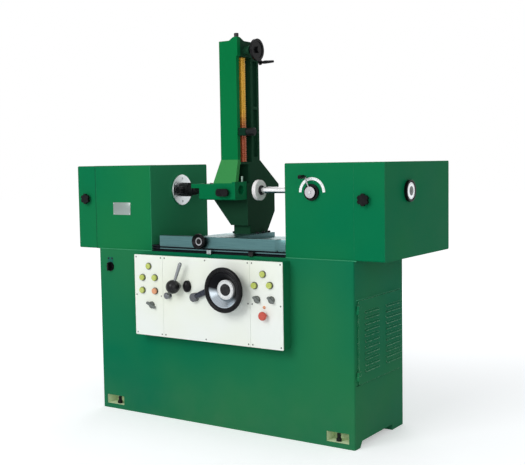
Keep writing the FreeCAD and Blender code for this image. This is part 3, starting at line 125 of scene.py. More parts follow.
def build_sky():
    world = bpy.data.worlds.new("white_studio")
    scene.world = world
    world.use_nodes = True
    tree = world.node_tree
    tree.nodes.clear()
    mix = tree.nodes.new("ShaderNodeMixShader")
    tree.links.new(seen_directly(tree), mix.inputs[0])
    for socket, strength in ((1, SKY_LIGHT), (2, 1)):
        white = tree.nodes.new("ShaderNodeBackground")
        white.inputs["Color"].default_value = (1, 1, 1, 1)
        white.inputs["Strength"].default_value = strength
        tree.links.new(white.outputs[0], mix.inputs[socket])
    out = tree.nodes.new("ShaderNodeOutputWorld")
    tree.links.new(mix.outputs[0], out.inputs[0])


build_sky()
print("sky", scene.world.name)

# %% [markdown]
# One broad lamp stands in front, and weaker ones stand at the right and behind. A large square lamp
# throws soft shadows, like those in the photograph. Each row holds a lamp's name, its place, the
# length of its side in metres and its power in watts.

# %% Lamps
LAMP_AIM = Vector((0, 0, 0.9))
LAMPS = (("front_light", (-0.8, -4.9, 3.3), 3.0, 140),
         ("right_light", (3.4, -3.9, 1.9), 2.6, 38),
         ("back_light", (-1.5, 3.8, 3.0), 3.0, 50))


def add_lamp(name, place, size, power):
    """A square lamp that shines at the middle of the machine."""
    data = bpy.data.lights.new(name, "AREA")
    data.size = size
    data.energy = power
    lamp = bpy.data.objects.new(name, data)
    lamp.location = place
    lamp.rotation_euler = (LAMP_AIM - Vector(place)).to_track_quat("-Z", "Y").to_euler()
    scene.collection.objects.link(lamp)


for lamp in LAMPS:
    add_lamp(*lamp)
print("lamps", len(bpy.data.lights))

# %% [markdown]
# Far away the floor has to melt into the sky, and near the machine it has to keep a soft shadow. So
# its material adds a little plain light for the camera, and less of it near the machine. The two
# limits hold a distance in metres and the strength of the added light there.

# %% Glow of the floor
NEAR_FLOOR = (1.0, 0.40)
FAR_FLOOR = (4.5, 0.68)


def object_place(tree):
    """Where a point lies, in the object's own coordinates."""
    return tree.nodes.new("ShaderNodeTexCoord").outputs["Object"]


def vector_node(tree, operation, *vectors):
    node = tree.nodes.new("ShaderNodeVectorMath")
    node.operation = operation
    for socket, vector in zip(node.inputs, vectors):
        tree.links.new(vector, socket)
    return node.outputs["Value" if operation in ("LENGTH", "DOT_PRODUCT") else "Vector"]


def floor_glow(tree):
    """Added light that rises with the distance from the machine."""
    rise = tree.nodes.new("ShaderNodeMapRange")
    tree.links.new(vector_node(tree, "LENGTH", object_place(tree)), rise.inputs["Value"])
    rise.inputs["From Min"].default_value, rise.inputs["To Min"].default_value = NEAR_FLOOR
    rise.inputs["From Max"].default_value, rise.inputs["To Max"].default_value = FAR_FLOOR
    return rise.outputs[0]


print("floor glow from", NEAR_FLOOR[1], "to", FAR_FLOOR[1])

# %% [markdown]
# The floor itself is a disc so wide that its edge doesn't show. Its matt grey and the added light
# are summed.

# %% Lay the floor
FLOOR_RADIUS = 30
FLOOR_SIDES = 96
FLOOR_GREY = (0.84, 0.865, 0.89, 1)


def floor_material():
    material = bpy.data.materials.new("studio_floor")
    material.use_nodes = True
    tree = material.node_tree
    tree.nodes.clear()
    matt = tree.nodes.new("ShaderNodeBsdfDiffuse")
    matt.inputs["Color"].default_value = FLOOR_GREY
    glow = tree.nodes.new("ShaderNodeEmission")
    tree.links.new(floor_glow(tree), glow.inputs["Strength"])
    both = tree.nodes.new("ShaderNodeAddShader")
    tree.links.new(matt.outputs[0], both.inputs[0])
    tree.links.new(glow.outputs[0], both.inputs[1])
    pick = tree.nodes.new("ShaderNodeMixShader")
    for source, socket in zip((seen_directly(tree), matt.outputs[0], both.outputs[0]), pick.inputs):
        tree.links.new(source, socket)
    out = tree.nodes.new("ShaderNodeOutputMaterial")
    tree.links.new(pick.outputs[0], out.inputs[0])
    return material


mesh = bpy.data.meshes.new("studio_floor")
bm = bmesh.new()
bmesh.ops.create_circle(bm, cap_ends=True, segments=FLOOR_SIDES, radius=FLOOR_RADIUS)
bm.to_mesh(mesh)
bm.free()
mesh.materials.append(floor_material())
floor = bpy.data.objects.new("studio_floor", mesh)
scene.collection.objects.link(floor)
print("floor radius", FLOOR_RADIUS)

# %% [markdown]
# Some effects belong to many finishes, so each is a node group: a small box of nodes with named
# inputs and outputs that a material can use with its own numbers. This helper makes an empty group
# and its sockets.

# %% Empty node group
def new_group(name, inputs, outputs):
    tree = bpy.data.node_groups.new(name, "ShaderNodeTree")
    for label, kind, value in inputs:
        socket = tree.interface.new_socket(label, in_out="INPUT", socket_type="NodeSocket" + kind)
        socket.default_value = value
    for label, kind in outputs:
        tree.interface.new_socket(label, in_out="OUTPUT", socket_type="NodeSocket" + kind)
    start = tree.nodes.new("NodeGroupInput")
    end = tree.nodes.new("NodeGroupOutput")
    return tree, start, end


print("a group starts empty")

# %% [markdown]
# A finish takes many nodes of the same few kinds. Each helper here adds one node and gives back its
# output, so a recipe reads like a sum and the wiring stays out of sight.

# %% One node at a time
def feed(tree, value, socket):
    """Sets a socket to a plain number or colour, or links another node's output to it."""
    if isinstance(value, (int, float, tuple)):
        socket.default_value = value
    else:
        tree.links.new(value, socket)


def math_node(tree, operation, first, second, clamp=False):
    node = tree.nodes.new("ShaderNodeMath")
    node.operation = operation
    node.use_clamp = clamp
    feed(tree, first, node.inputs[0])
    feed(tree, second, node.inputs[1])
    return node.outputs[0]


def spread(tree, value, low, high):
    """Stretches a value so that low becomes 0 and high becomes 1."""
    node = tree.nodes.new("ShaderNodeMapRange")
    node.inputs["From Min"].default_value = low
    node.inputs["From Max"].default_value = high
    tree.links.new(value, node.inputs["Value"])
    return node.outputs[0]


def mix_colours(tree, share, first, second):
    """The Mix node keeps its two colours at inputs 6 and 7, and the mixed one at output 2."""
    node = tree.nodes.new("ShaderNodeMix")
    node.data_type = "RGBA"
    for place, value in ((0, share), (6, first), (7, second)):
        feed(tree, value, node.inputs[place])
    return node.outputs[2]


def noise(tree, scale, detail, vector=None):
    node = tree.nodes.new("ShaderNodeTexNoise")
    node.inputs["Detail"].default_value = detail
    feed(tree, scale, node.inputs["Scale"])
    tree.links.new(vector or object_place(tree), node.inputs["Vector"])
    return node.outputs["Fac"]


print("node helpers ready")

# %% [markdown]
# Edges of a used machine are the first to lose their paint. The Bevel node bends the normal near an
# edge, and comparing it with the true normal gives a mask of the edges. A noise breaks the mask up.

# %% Group for worn edges
def edge_wear_group():
    tree, start, end = new_group(
        "Worn edges", [("Width", "Float", 0.002), ("Breaks", "Float", 60.0)], [("Mask", "Float")])
    bevel = tree.nodes.new("ShaderNodeBevel")
    bevel.samples = 4
    tree.links.new(start.outputs["Width"], bevel.inputs["Radius"])
    true_normal = tree.nodes.new("ShaderNodeNewGeometry").outputs["Normal"]
    likeness = vector_node(tree, "DOT_PRODUCT", bevel.outputs[0], true_normal)
    edge = spread(tree, likeness, 0.99, 0.86)
    broken = spread(tree, noise(tree, start.outputs["Breaks"], 4), 0.35, 0.62)
    tree.links.new(math_node(tree, "MULTIPLY", edge, broken, True), end.inputs["Mask"])
    return tree


edge_wear = edge_wear_group()
print("group", edge_wear.name)

# %% [markdown]
# Brushed and rolled paint is never one colour. Broad soft patches shift it a little, a fine skin
# like orange peel catches the light, and dust settles near the floor. The group gives the colour,
# the roughness and the height of that skin.

# %% Group for machine paint
DUST_TOP = 0.3
DUST_COLOUR = (0.34, 0.32, 0.27, 1)
SMEARS = 0.16


def object_axes(tree):
    """A point's place along X, Y and Z, as three outputs."""
    parts = tree.nodes.new("ShaderNodeSeparateXYZ")
    tree.links.new(object_place(tree), parts.inputs[0])
    return parts.outputs


def paint_group():
    tree, start, end = new_group(
        "Machine paint",
        [("Paint", "Color", (0.02, 0.2, 0.1, 1)), ("Patch Paint", "Color", (0.03, 0.22, 0.1, 1)),
         ("Patch Scale", "Float", 1.6), ("Skin Scale", "Float", 420.0),
         ("Roughness", "Float", 0.38), ("Dust", "Float", 0.15)],
        [("Colour", "Color"), ("Roughness", "Float"), ("Height", "Float")])
    patches = spread(tree, noise(tree, start.outputs["Patch Scale"], 2), 0.36, 0.64)
    colour = mix_colours(tree, patches, start.outputs["Paint"], start.outputs["Patch Paint"])
    low_down = spread(tree, object_axes(tree)["Z"], DUST_TOP, 0.0)
    settled = math_node(tree, "MULTIPLY", low_down, noise(tree, 14.0, 5))
    dust = math_node(tree, "MULTIPLY", settled, start.outputs["Dust"], True)
    colour = mix_colours(tree, dust, colour, DUST_COLOUR)
    smears = math_node(tree, "MULTIPLY", noise(tree, 7.0, 5), SMEARS)
    rough = math_node(tree, "ADD", start.outputs["Roughness"], smears)
    tree.links.new(colour, end.inputs["Colour"])
    tree.links.new(math_node(tree, "SUBTRACT", rough, SMEARS / 2, True), end.inputs["Roughness"])
    tree.links.new(noise(tree, start.outputs["Skin Scale"], 2), end.inputs["Height"])
    return tree


machine_paint = paint_group()
print("group", machine_paint.name)

# %% [markdown]
# Ground and turned steel carries fine lines in the direction of the cut. Noise that is stretched
# along one axis makes them, and the stretch is a vector input, so a bed can have lines along X and
# a disc can have its own.

# %% Group for tool marks
def tool_marks_group():
    tree, start, end = new_group(
        "Tool marks", [("Stretch", "Vector", (1.0, 60.0, 60.0)), ("Scale", "Float", 12.0)],
        [("Lines", "Float"), ("Height", "Float")])
    stretched = vector_node(tree, "MULTIPLY", object_place(tree), start.outputs["Stretch"])
    lines = noise(tree, start.outputs["Scale"], 5, stretched)
    tree.links.new(spread(tree, lines, 0.3, 0.7), end.inputs["Lines"])
    tree.links.new(lines, end.inputs["Height"])
    return tree


tool_marks = tool_marks_group()
print("group", tool_marks.name)

# %% [markdown]
# Hands leave a film on knobs and wheels, and rubbing polishes their high spots. This group gives a
# mask of smudges that a plastic or a bright steel can add to its roughness.

# %% Group for handling marks
def handling_group():
    tree, start, end = new_group(
        "Handling marks", [("Size", "Float", 30.0)], [("Smudges", "Float"), ("Height", "Float")])
    smudges = spread(tree, noise(tree, start.outputs["Size"], 6), 0.4, 0.68)
    grain = math_node(tree, "MULTIPLY", start.outputs["Size"], 22.0)
    tree.links.new(smudges, end.inputs["Smudges"])
    tree.links.new(noise(tree, grain, 2), end.inputs["Height"])
    return tree


handling = handling_group()
print("group", handling.name)

# %% [markdown]
# A part that is one solid can still show two finishes, such as a black ball with a bright lever.
# This group tells how far a point is from a centre, or from an axis when one direction is left
# out, and turns that distance into a mask with a sharp edge.

# %% Group for a reach around a place
def reach_group():
    tree, start, end = new_group(
        "Beyond reach",
        [("Centre", "Vector", (0.0, 0.0, 0.0)), ("Directions", "Vector", (1.0, 1.0, 1.0)),
         ("Reach", "Float", 0.03)], [("Mask", "Float")])
    away = vector_node(tree, "SUBTRACT", object_place(tree), start.outputs["Centre"])
    counted = vector_node(tree, "MULTIPLY", away, start.outputs["Directions"])
    distance = vector_node(tree, "LENGTH", counted)
    beyond = math_node(tree, "GREATER_THAN", distance, start.outputs["Reach"])
    tree.links.new(beyond, end.inputs["Mask"])
    return tree


beyond_reach = reach_group()
print("group", beyond_reach.name)

# %% [markdown]
# Each material starts from the same few lines: a Principled shader joined to the output. Values
# that are the same all over are set on the shader itself, and only what changes is linked.

# %% Material helpers
def new_material(name, roughness=0.4, metallic=0.0, **sockets):
    material = bpy.data.materials.new(name)
    material.use_nodes = True
    tree = material.node_tree
    tree.nodes.clear()
    shader = tree.nodes.new("ShaderNodeBsdfPrincipled")
    out = tree.nodes.new("ShaderNodeOutputMaterial")
    tree.links.new(shader.outputs[0], out.inputs[0])
    shader.inputs["Roughness"].default_value = roughness
    shader.inputs["Metallic"].default_value = metallic
    for label, value in sockets.items():
        shader.inputs[label.replace("_", " ")].default_value = value
    return material, tree, shader


def use_group(tree, group, **values):
    node = tree.nodes.new("ShaderNodeGroup")
    node.node_tree = group
    for label, value in values.items():
        node.inputs[label.replace("_", " ")].default_value = value
    return node


def add_bump(tree, shader, height, strength, distance=0.2 * MM):
    bump = tree.nodes.new("ShaderNodeBump")
    bump.inputs["Strength"].default_value = strength
    bump.inputs["Distance"].default_value = distance
    tree.links.new(height, bump.inputs["Height"])
    tree.links.new(bump.outputs[0], shader.inputs["Normal"])


print("material helpers ready")

# %% [markdown]
# Green enamel covers the cabinet, both heads and the fixture. They share one recipe with different
# greens, because the castings were filled and sprayed apart from the sheet metal. Enamel that was
# brushed on is only faintly glossy, so its specular level is set low on the shader. Its edges are
# painted a little lighter, part worn paint and part painted highlight, and the door carries a
# brighter painted highlight along the edges of its louvres.

# %% Enamel recipe
ENAMEL_SHINE = 0.02
PAINT_SKIN = 0.4 * MM
# Lighter edge greens: part worn paint, part painted highlight; the door's bright one is painted
# highlight.
SOFT_EDGE_WEAR_AND_HIGHLIGHT = (0.4, (0.08, 0.33, 0.19, 1))
BRIGHT_EDGE_HIGHLIGHT = (1.0, (0.40, 0.72, 0.50, 1))


def reach_mask(tree, centre, directions, reach):
    where = use_group(tree, beyond_reach, Centre=centre, Directions=directions, Reach=reach)
    return where.outputs["Mask"]


def enamel(name, greens, roughness, skin, bump, dust=0.04, zones=(), edge=SOFT_EDGE_WEAR_AND_HIGHLIGHT):
    """The greens are the paint and its patches. Each zone holds a centre, directions and a reach,
    and the colour within and beyond it. The edge holds the share and the colour of the lighter
    edges, which are part worn paint and part painted highlight."""
    material, tree, shader = new_material(name, Specular_IOR_Level=ENAMEL_SHINE)
    group = use_group(tree, machine_paint, Paint=greens[0], Patch_Paint=greens[1],
                      Skin_Scale=skin, Roughness=roughness, Dust=dust)
    colour = group.outputs["Colour"]
    for centre, directions, reach, within, beyond in zones:
        mask = reach_mask(tree, centre, directions, reach)
        colour = mix_colours(tree, mask, within or colour, beyond or colour)
    # The lighter edge colour is part worn paint and part painted highlight.
    wear = use_group(tree, edge_wear, Width=1.6 * MM, Breaks=70.0)
    chip = math_node(tree, "MULTIPLY", wear.outputs["Mask"], edge[0])
    colour = mix_colours(tree, chip, colour, edge[1])
    tree.links.new(colour, shader.inputs["Base Color"])
    tree.links.new(group.outputs["Roughness"], shader.inputs["Roughness"])
    add_bump(tree, shader, group.outputs["Height"], bump, PAINT_SKIN)
    return material


CABINET_GREENS = ((0.003, 0.160, 0.074, 1), (0.018, 0.182, 0.070, 1))
cabinet_enamel = enamel("cabinet_enamel", CABINET_GREENS, 0.44, 420.0, 0.10, 0.07)
door_enamel = enamel("door_enamel", CABINET_GREENS, 0.44, 420.0, 0.10, 0.07, edge=BRIGHT_EDGE_HIGHLIGHT)
print(cabinet_enamel.name, door_enamel.name)

# %% [markdown]
# The face of the left head that looks at the column carries a painted highlight, and so does the
# slope of the column's foot. Behind its front the column is painted almost black, as painted shade.
# Each of these is a zone: a distance from a centre, counted only in the named directions.

# %% Enamels with zones
HEAD_GREENS = ((0.002, 0.166, 0.066, 1), (0.010, 0.182, 0.060, 1))
# Painted highlight on the left head's inner face.
INNER_FACE_HIGHLIGHT = (0.026, 0.235, 0.105, 1)
COLUMN_GREENS = ((0.001, 0.165, 0.046, 1), (0.003, 0.178, 0.052, 1))
# Painted highlight on the slope of the column's foot.
SLOPE_HIGHLIGHT = (0.045, 0.27, 0.075, 1)
# Painted shade behind the column's front.
SHADE_GREEN = (0.012, 0.056, 0.028, 1)
SLOPE_MIDDLE = 1.160
SLOPE_HALF = 54.5 * MM
FRONT_DEPTH = 46.5 * MM

inner_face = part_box("left_head_housing")[1].x
column_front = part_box("fixture_column")[0].y
head_enamel = enamel("head_enamel", HEAD_GREENS, 0.42, 460.0, 0.09)
left_head_enamel = enamel(
    "left_head_enamel", HEAD_GREENS, 0.42, 460.0, 0.09,
    zones=(((inner_face, 0, 0), (1, 0, 0), 3 * MM, INNER_FACE_HIGHLIGHT, None),))
column_enamel = enamel(
    "column_enamel", COLUMN_GREENS, 0.42, 380.0, 0.14,
    zones=(((0, 0, SLOPE_MIDDLE), (0, 0, 1), SLOPE_HALF, SLOPE_HIGHLIGHT, None),
           ((0, column_front, 0), (0, 1, 0), FRONT_DEPTH, None, SHADE_GREEN)))
print("column front at", round(column_front, 4))

# %% [markdown]
# The smaller painted parts have greens of their own, from the nearly black slide to the pale beads
# of filler and the lip over the door, whose pale green is a painted highlight. The motors are grey,
# and the anchor pockets show a cream primer. They all take the enamel's recipe, since only the
# colour and the skin of the paint differ.

# %% Other enamels
fixture_enamel = enamel("fixture_enamel", ((0.001, 0.160, 0.056, 1), (0.004, 0.172, 0.060, 1)),
                        0.40, 380.0, 0.14)
slide_enamel = enamel("slide_enamel", ((0.004, 0.026, 0.014, 1), (0.006, 0.032, 0.018, 1)),
                      0.42, 380.0, 0.14)
gasket_green = enamel("gasket_green", ((0.002, 0.045, 0.022, 1), (0.004, 0.055, 0.026, 1)),
                      0.6, 420.0, 0.1)
# Pale green of the beads and the door's lip: a painted highlight.
highlight_bead_enamel = enamel("highlight_bead_enamel", ((0.055, 0.36, 0.19, 1), (0.075, 0.39, 0.2, 1)),
                     0.4, 420.0, 0.1)
plate_enamel = enamel("plate_enamel", ((0.010, 0.125, 0.090, 1), (0.014, 0.135, 0.095, 1)),
                      0.4, 420.0, 0.06)
motor_grey = enamel("motor_grey", ((0.1, 0.12, 0.14, 1), (0.12, 0.14, 0.16, 1)),
                    0.45, 300.0, 0.2)
pocket_cream = enamel("pocket_cream", ((0.66, 0.80, 0.52, 1), (0.76, 0.88, 0.60, 1)),
                      0.55, 300.0, 0.1)
print("enamels ready")

# %% [markdown]
# The panel is a white lacquered sheet. It is almost clean, so only a faint warm drift in its white
# and a fine sheet grain keep it from looking flat.

# %% Panel lacquer
def panel_lacquer():
    material, tree, shader = new_material("panel_lacquer", Specular_IOR_Level=0.3)
    group = use_group(tree, machine_paint, Paint=(0.86, 0.90, 0.86, 1),
                      Patch_Paint=(0.84, 0.88, 0.76, 1), Patch_Scale=3.0, Skin_Scale=700.0,
                      Roughness=0.42, Dust=0.0)
    wear = use_group(tree, edge_wear, Width=1 * MM, Breaks=90.0)
    chip = math_node(tree, "MULTIPLY", wear.outputs["Mask"], 0.5)
    colour = mix_colours(tree, chip, group.outputs["Colour"], (0.5, 0.52, 0.5, 1))
    tree.links.new(colour, shader.inputs["Base Color"])
    tree.links.new(group.outputs["Roughness"], shader.inputs["Roughness"])
    add_bump(tree, shader, group.outputs["Height"], 0.05, PAINT_SKIN)
    return material


panel_white = panel_lacquer()
print(panel_white.name)

# %% [markdown]
# Bare steel comes in a few cuts. The table is ground along its length, the quill is polished
# round, the boring face plate is turned and nearly white, and a knob and the feed lever are
# chromed. One recipe serves them all, and each cut has its own direction and spacing of the lines.

# %% Steels
def steel(name, colour, dark, roughness, stretch, scale, bump):
    material, tree, shader = new_material(name, metallic=1.0, roughness=roughness)
    marks = use_group(tree, tool_marks, Stretch=stretch, Scale=scale)
    smudge = use_group(tree, handling, Size=9.0)
    share = math_node(tree, "MULTIPLY", marks.outputs["Lines"], 0.6)
    tree.links.new(mix_colours(tree, share, colour, dark), shader.inputs["Base Color"])
    extra = math_node(tree, "MULTIPLY", smudge.outputs["Smudges"], 0.14)
    tree.links.new(math_node(tree, "ADD", extra, roughness), shader.inputs["Roughness"])
    add_bump(tree, shader, marks.outputs["Height"], bump)
    return material


ALONG_X = (1.0, 60.0, 60.0)
ALL_ROUND = (8.0, 8.0, 8.0)
TURNED_X = (60.0, 3.0, 3.0)
BRUSHED = (30.0, 3.0, 30.0)

table_steel = steel("table_steel", (0.10, 0.20, 0.205, 1), (0.045, 0.11, 0.12, 1),
                    0.34, ALONG_X, 12.0, 0.12)
plain_steel = steel("plain_steel", (0.62, 0.64, 0.65, 1), (0.42, 0.44, 0.45, 1),
                    0.3, (40.0, 40.0, 2.0), 14.0, 0.1)
polished_steel = steel("polished_steel", (0.82, 0.82, 0.83, 1), (0.64, 0.63, 0.64, 1),
                       0.16, (60.0, 1.0, 1.0), 12.0, 0.06)
face_steel = steel("face_steel", (0.90, 0.94, 0.95, 1), (0.78, 0.83, 0.85, 1),
                   0.3, TURNED_X, 14.0, 0.08)
chrome = steel("chrome", (0.36, 0.37, 0.38, 1), (0.13, 0.14, 0.15, 1),
               0.12, ALL_ROUND, 20.0, 0.02)
knob_chrome = steel("knob_chrome", (0.19, 0.2, 0.21, 1), (0.07, 0.075, 0.08, 1),
                    0.14, ALL_ROUND, 20.0, 0.02)
bezel_metal = steel("bezel_metal", (0.14, 0.15, 0.13, 1), (0.05, 0.055, 0.05, 1),
                    0.3, ALL_ROUND, 20.0, 0.04)
plate_alloy = steel("plate_alloy", (0.30, 0.35, 0.33, 1), (0.22, 0.26, 0.25, 1),
                    0.3, BRUSHED, 16.0, 0.1)
disc_alloy = steel("disc_alloy", (0.50, 0.48, 0.50, 1), (0.22, 0.20, 0.22, 1),
                   0.32, BRUSHED, 16.0, 0.1)
print("steels ready")

# %% [markdown]
# The bed is the same steel, but painted shade turns its two front grooves and the ways beside the
# left head black. Each dark place is the near side of a reach mask: a band around a height, or the
# first stretch from the bed's left end.

# %% Bed with painted shade
# Painted shade for the two grooves and the bed's left end.
SHADE_BLACK = (0.012, 0.014, 0.018, 1)
GROOVE_DEPTH = 8.5 * MM
GROOVE_HALF = 3.6 * MM
LIP_HEIGHT = 4 * MM
LIP_HALF = 9 * MM
BLACK_END = 50 * MM


def shaded_bed():
    material, tree, shader = new_material("shaded_bed", metallic=1.0, roughness=0.34)
    marks = use_group(tree, tool_marks, Stretch=ALONG_X, Scale=12.0)
    share = math_node(tree, "MULTIPLY", marks.outputs["Lines"], 0.6)
    colour = mix_colours(tree, share, (0.10, 0.19, 0.195, 1), (0.045, 0.10, 0.11, 1))
    low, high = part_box("machine_bed")
    for centre, directions, reach in (
            ((0, 0, high.z - GROOVE_DEPTH), (0, 0, 1), GROOVE_HALF),
            ((0, 0, low.z + LIP_HEIGHT), (0, 0, 1), LIP_HALF),
            ((low.x, 0, 0), (1, 0, 0), BLACK_END)):
        mask = reach_mask(tree, centre, directions, reach)
        colour = mix_colours(tree, mask, SHADE_BLACK, colour)
    tree.links.new(colour, shader.inputs["Base Color"])
    add_bump(tree, shader, marks.outputs["Height"], 0.12)
    return material


bed_steel = shaded_bed()
print(bed_steel.name)

# %% [markdown]
# The arc scale of the feed lever is a satin white plate. A barely metallic shader keeps the white
# without losing the glint.

# %% Satin white plate
def satin_plate():
    material, tree, shader = new_material("satin_plate", metallic=0.1, roughness=0.36)
    marks = use_group(tree, tool_marks, Stretch=TURNED_X, Scale=14.0)
    share = math_node(tree, "MULTIPLY", marks.outputs["Lines"], 0.5)
    tree.links.new(mix_colours(tree, share, (0.90, 0.93, 0.93, 1), (0.80, 0.84, 0.85, 1)),
                   shader.inputs["Base Color"])
    add_bump(tree, shader, marks.outputs["Height"], 0.08)
    return material


plate_white = satin_plate()
print(plate_white.name)

# %% [markdown]
# Black parts are of two kinds: oxide blackened steel, which is dull with bright edges, and moulded
# plastic, which is glossy with finger marks. A coloured plastic uses the second recipe again.

# %% Black steel and plastics
def black_oxide():
    material, tree, shader = new_material("black_oxide", metallic=0.1, roughness=0.4,
                                          Specular_IOR_Level=0.1)
    marks = use_group(tree, tool_marks, Stretch=(30.0, 3.0, 3.0), Scale=16.0)
    wear = use_group(tree, edge_wear, Width=1.4 * MM, Breaks=90.0)
    base = mix_colours(tree, marks.outputs["Lines"], (0.006, 0.007, 0.008, 1),
                       (0.016, 0.018, 0.018, 1))
    share = math_node(tree, "MULTIPLY", wear.outputs["Mask"], 0.3)
    tree.links.new(mix_colours(tree, share, base, (0.3, 0.3, 0.31, 1)), shader.inputs["Base Color"])
    add_bump(tree, shader, marks.outputs["Height"], 0.1)
    return material


def plastic(name, colour, worn, shine=0.4):
    material, tree, shader = new_material(name, Specular_IOR_Level=shine)
    marks = use_group(tree, handling, Size=42.0)
    share = math_node(tree, "MULTIPLY", marks.outputs["Smudges"], 0.5)
    tree.links.new(mix_colours(tree, share, colour, worn), shader.inputs["Base Color"])
    extra = math_node(tree, "MULTIPLY", marks.outputs["Smudges"], 0.16)
    tree.links.new(math_node(tree, "ADD", extra, 0.22), shader.inputs["Roughness"])
    add_bump(tree, shader, marks.outputs["Height"], 0.04)
    return material


black_steel = black_oxide()
black_plastic = plastic("black_plastic", (0.004, 0.004, 0.005, 1), (0.009, 0.009, 0.010, 1), 0.12)
red_plastic = plastic("red_plastic", (0.56, 0.075, 0.05, 1), (0.60, 0.12, 0.08, 1))
orange_plastic = plastic("orange_plastic", (0.72, 0.32, 0.16, 1), (0.76, 0.40, 0.24, 1))
lime_plastic = plastic("lime_plastic", (0.50, 0.58, 0.12, 1), (0.60, 0.66, 0.26, 1))
grey_plastic = plastic("grey_plastic", (0.13, 0.15, 0.14, 1), (0.22, 0.24, 0.23, 1))
navy_plastic = plastic("navy_plastic", (0.008, 0.012, 0.028, 1), (0.02, 0.028, 0.05, 1), 0.35)
print("plastics ready")

# %% [markdown]
# Two more finishes have a recipe of their own: the porous stone of the grinding wheel, whose pores
# are a very fine noise, and the rubber of the belts and wipers.

# %% Wheel and rubber
def wheel_stone():
    material, tree, shader = new_material("wheel_stone", roughness=0.85)
    pores = spread(tree, noise(tree, 900.0, 2), 0.42, 0.6)
    tree.links.new(mix_colours(tree, pores, (0.80, 0.78, 0.77, 1), (0.95, 0.94, 0.94, 1)),
                   shader.inputs["Base Color"])
    add_bump(tree, shader, pores, 0.5, 0.3 * MM)
    return material


def rubber():
    material, tree, shader = new_material("rubber", roughness=0.7)
    marks = use_group(tree, handling, Size=60.0)
    tree.links.new(mix_colours(tree, marks.outputs["Smudges"], (0.014, 0.014, 0.014, 1),
                               (0.035, 0.034, 0.033, 1)), shader.inputs["Base Color"])
    add_bump(tree, shader, marks.outputs["Height"], 0.3, 0.4 * MM)
    return material


stone = wheel_stone()
wiper_rubber = rubber()
print(stone.name, wiper_rubber.name)

# %% [markdown]
# Five parts show two finishes on one mesh, such as a black ball on a bright lever. The mesh could
# be cut in two, but the parts come ready made. So this recipe mixes two colours, two roughnesses
# and two metal values by the mask of the reach group.

# %% Two finishes in one material
SMUDGE_GREY = (0.2, 0.2, 0.2, 1)


def two_finishes(name, centre, directions, reach, near, far):
    """near and far each hold a colour, a metallic value and a roughness."""
    material, tree, shader = new_material(name, Specular_IOR_Level=0.2)
    mask = reach_mask(tree, centre, directions, reach)
    marks = use_group(tree, handling, Size=40.0)
    dulled = math_node(tree, "MULTIPLY", marks.outputs["Smudges"], 0.12)
    colour = mix_colours(tree, mask, near[0], far[0])
    tree.links.new(mix_colours(tree, dulled, colour, SMUDGE_GREY), shader.inputs["Base Color"])
    metal = math_node(tree, "MULTIPLY", mask, far[1] - near[1])
    tree.links.new(math_node(tree, "ADD", metal, near[1], True), shader.inputs["Metallic"])
    rough = math_node(tree, "MULTIPLY", mask, far[2] - near[2])
    rough = math_node(tree, "ADD", rough, near[2])
    tree.links.new(math_node(tree, "ADD", rough, dulled, True), shader.inputs["Roughness"])
    add_bump(tree, shader, marks.outputs["Height"], 0.04)
    return material


print("recipe for two finishes ready")

# %% [markdown]
# Each finish is a colour, a metal value and a roughness. The centre and the reach of every mask are
# worked out from the part's box and the size of its ball, hub or cap.

# %% Parts with two finishes
BLACK = ((0.005, 0.005, 0.006, 1), 0.0, 0.2)
BRIGHT = ((0.25, 0.26, 0.27, 1), 1.0, 0.16)
DULL_HUB = ((0.10, 0.105, 0.115, 1), 1.0, 0.2)
WHITE_RING = ((0.74, 0.76, 0.76, 1), 0.2, 0.34)
DARK_STEEL = ((0.012, 0.02, 0.045, 1), 0.5, 0.2)
PALE_STUD = ((0.45, 0.6, 0.52, 1), 0.6, 0.3)
SATIN_STOP = ((0.34, 0.4, 0.4, 1), 1.0, 0.25)
BALL_RADIUS = 32 * MM
HUB_RADIUS = 20 * MM
CAP_RADIUS = 26.2 * MM

ball_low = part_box("hydraulic_lever")[0]
ball_centre = tuple(corner + BALL_RADIUS for corner in ball_low)
lever_finish = two_finishes("lever_finish", ball_centre, (1, 1, 1), BALL_RADIUS + 0.5 * MM,
                            BLACK, BRIGHT)
arm_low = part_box("reverse_lever")[0]
hub_centre = (arm_low.x + HUB_RADIUS, 0, arm_low.z + HUB_RADIUS)
reverse_finish = two_finishes("reverse_finish", hub_centre, (1, 0, 1), HUB_RADIUS + 0.5 * MM,
                              DULL_HUB, DARK_STEEL)
dial_middle = middle_of("handwheel_dial")
ring_finish = two_finishes("ring_finish", tuple(dial_middle), (1, 0, 1), CAP_RADIUS,
                           BLACK, WHITE_RING)
stud_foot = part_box("column_fittings")[0].z
fitting_finish = two_finishes("fitting_finish", (0, 0, stud_foot), (0, 0, 1), 200 * MM,
                              PALE_STUD, BLACK)
left_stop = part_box("travel_stops")[0].x
stop_finish = two_finishes("stop_finish", (left_stop, 0, 0), (1, 0, 0), 100 * MM,
                           SATIN_STOP, BLACK)
print("two finish parts ready")

# %% [markdown]
# The handwheel's dish is spun bright metal, and its upper half carries a painted black reflection.
# A mask that rises across the dish, a little tilted, mixes the two.

# %% Dish with a painted reflection
DISH_TILT = 0.32
BRIGHT_BELOW = 36 * MM
BLACK_ABOVE = 12 * MM


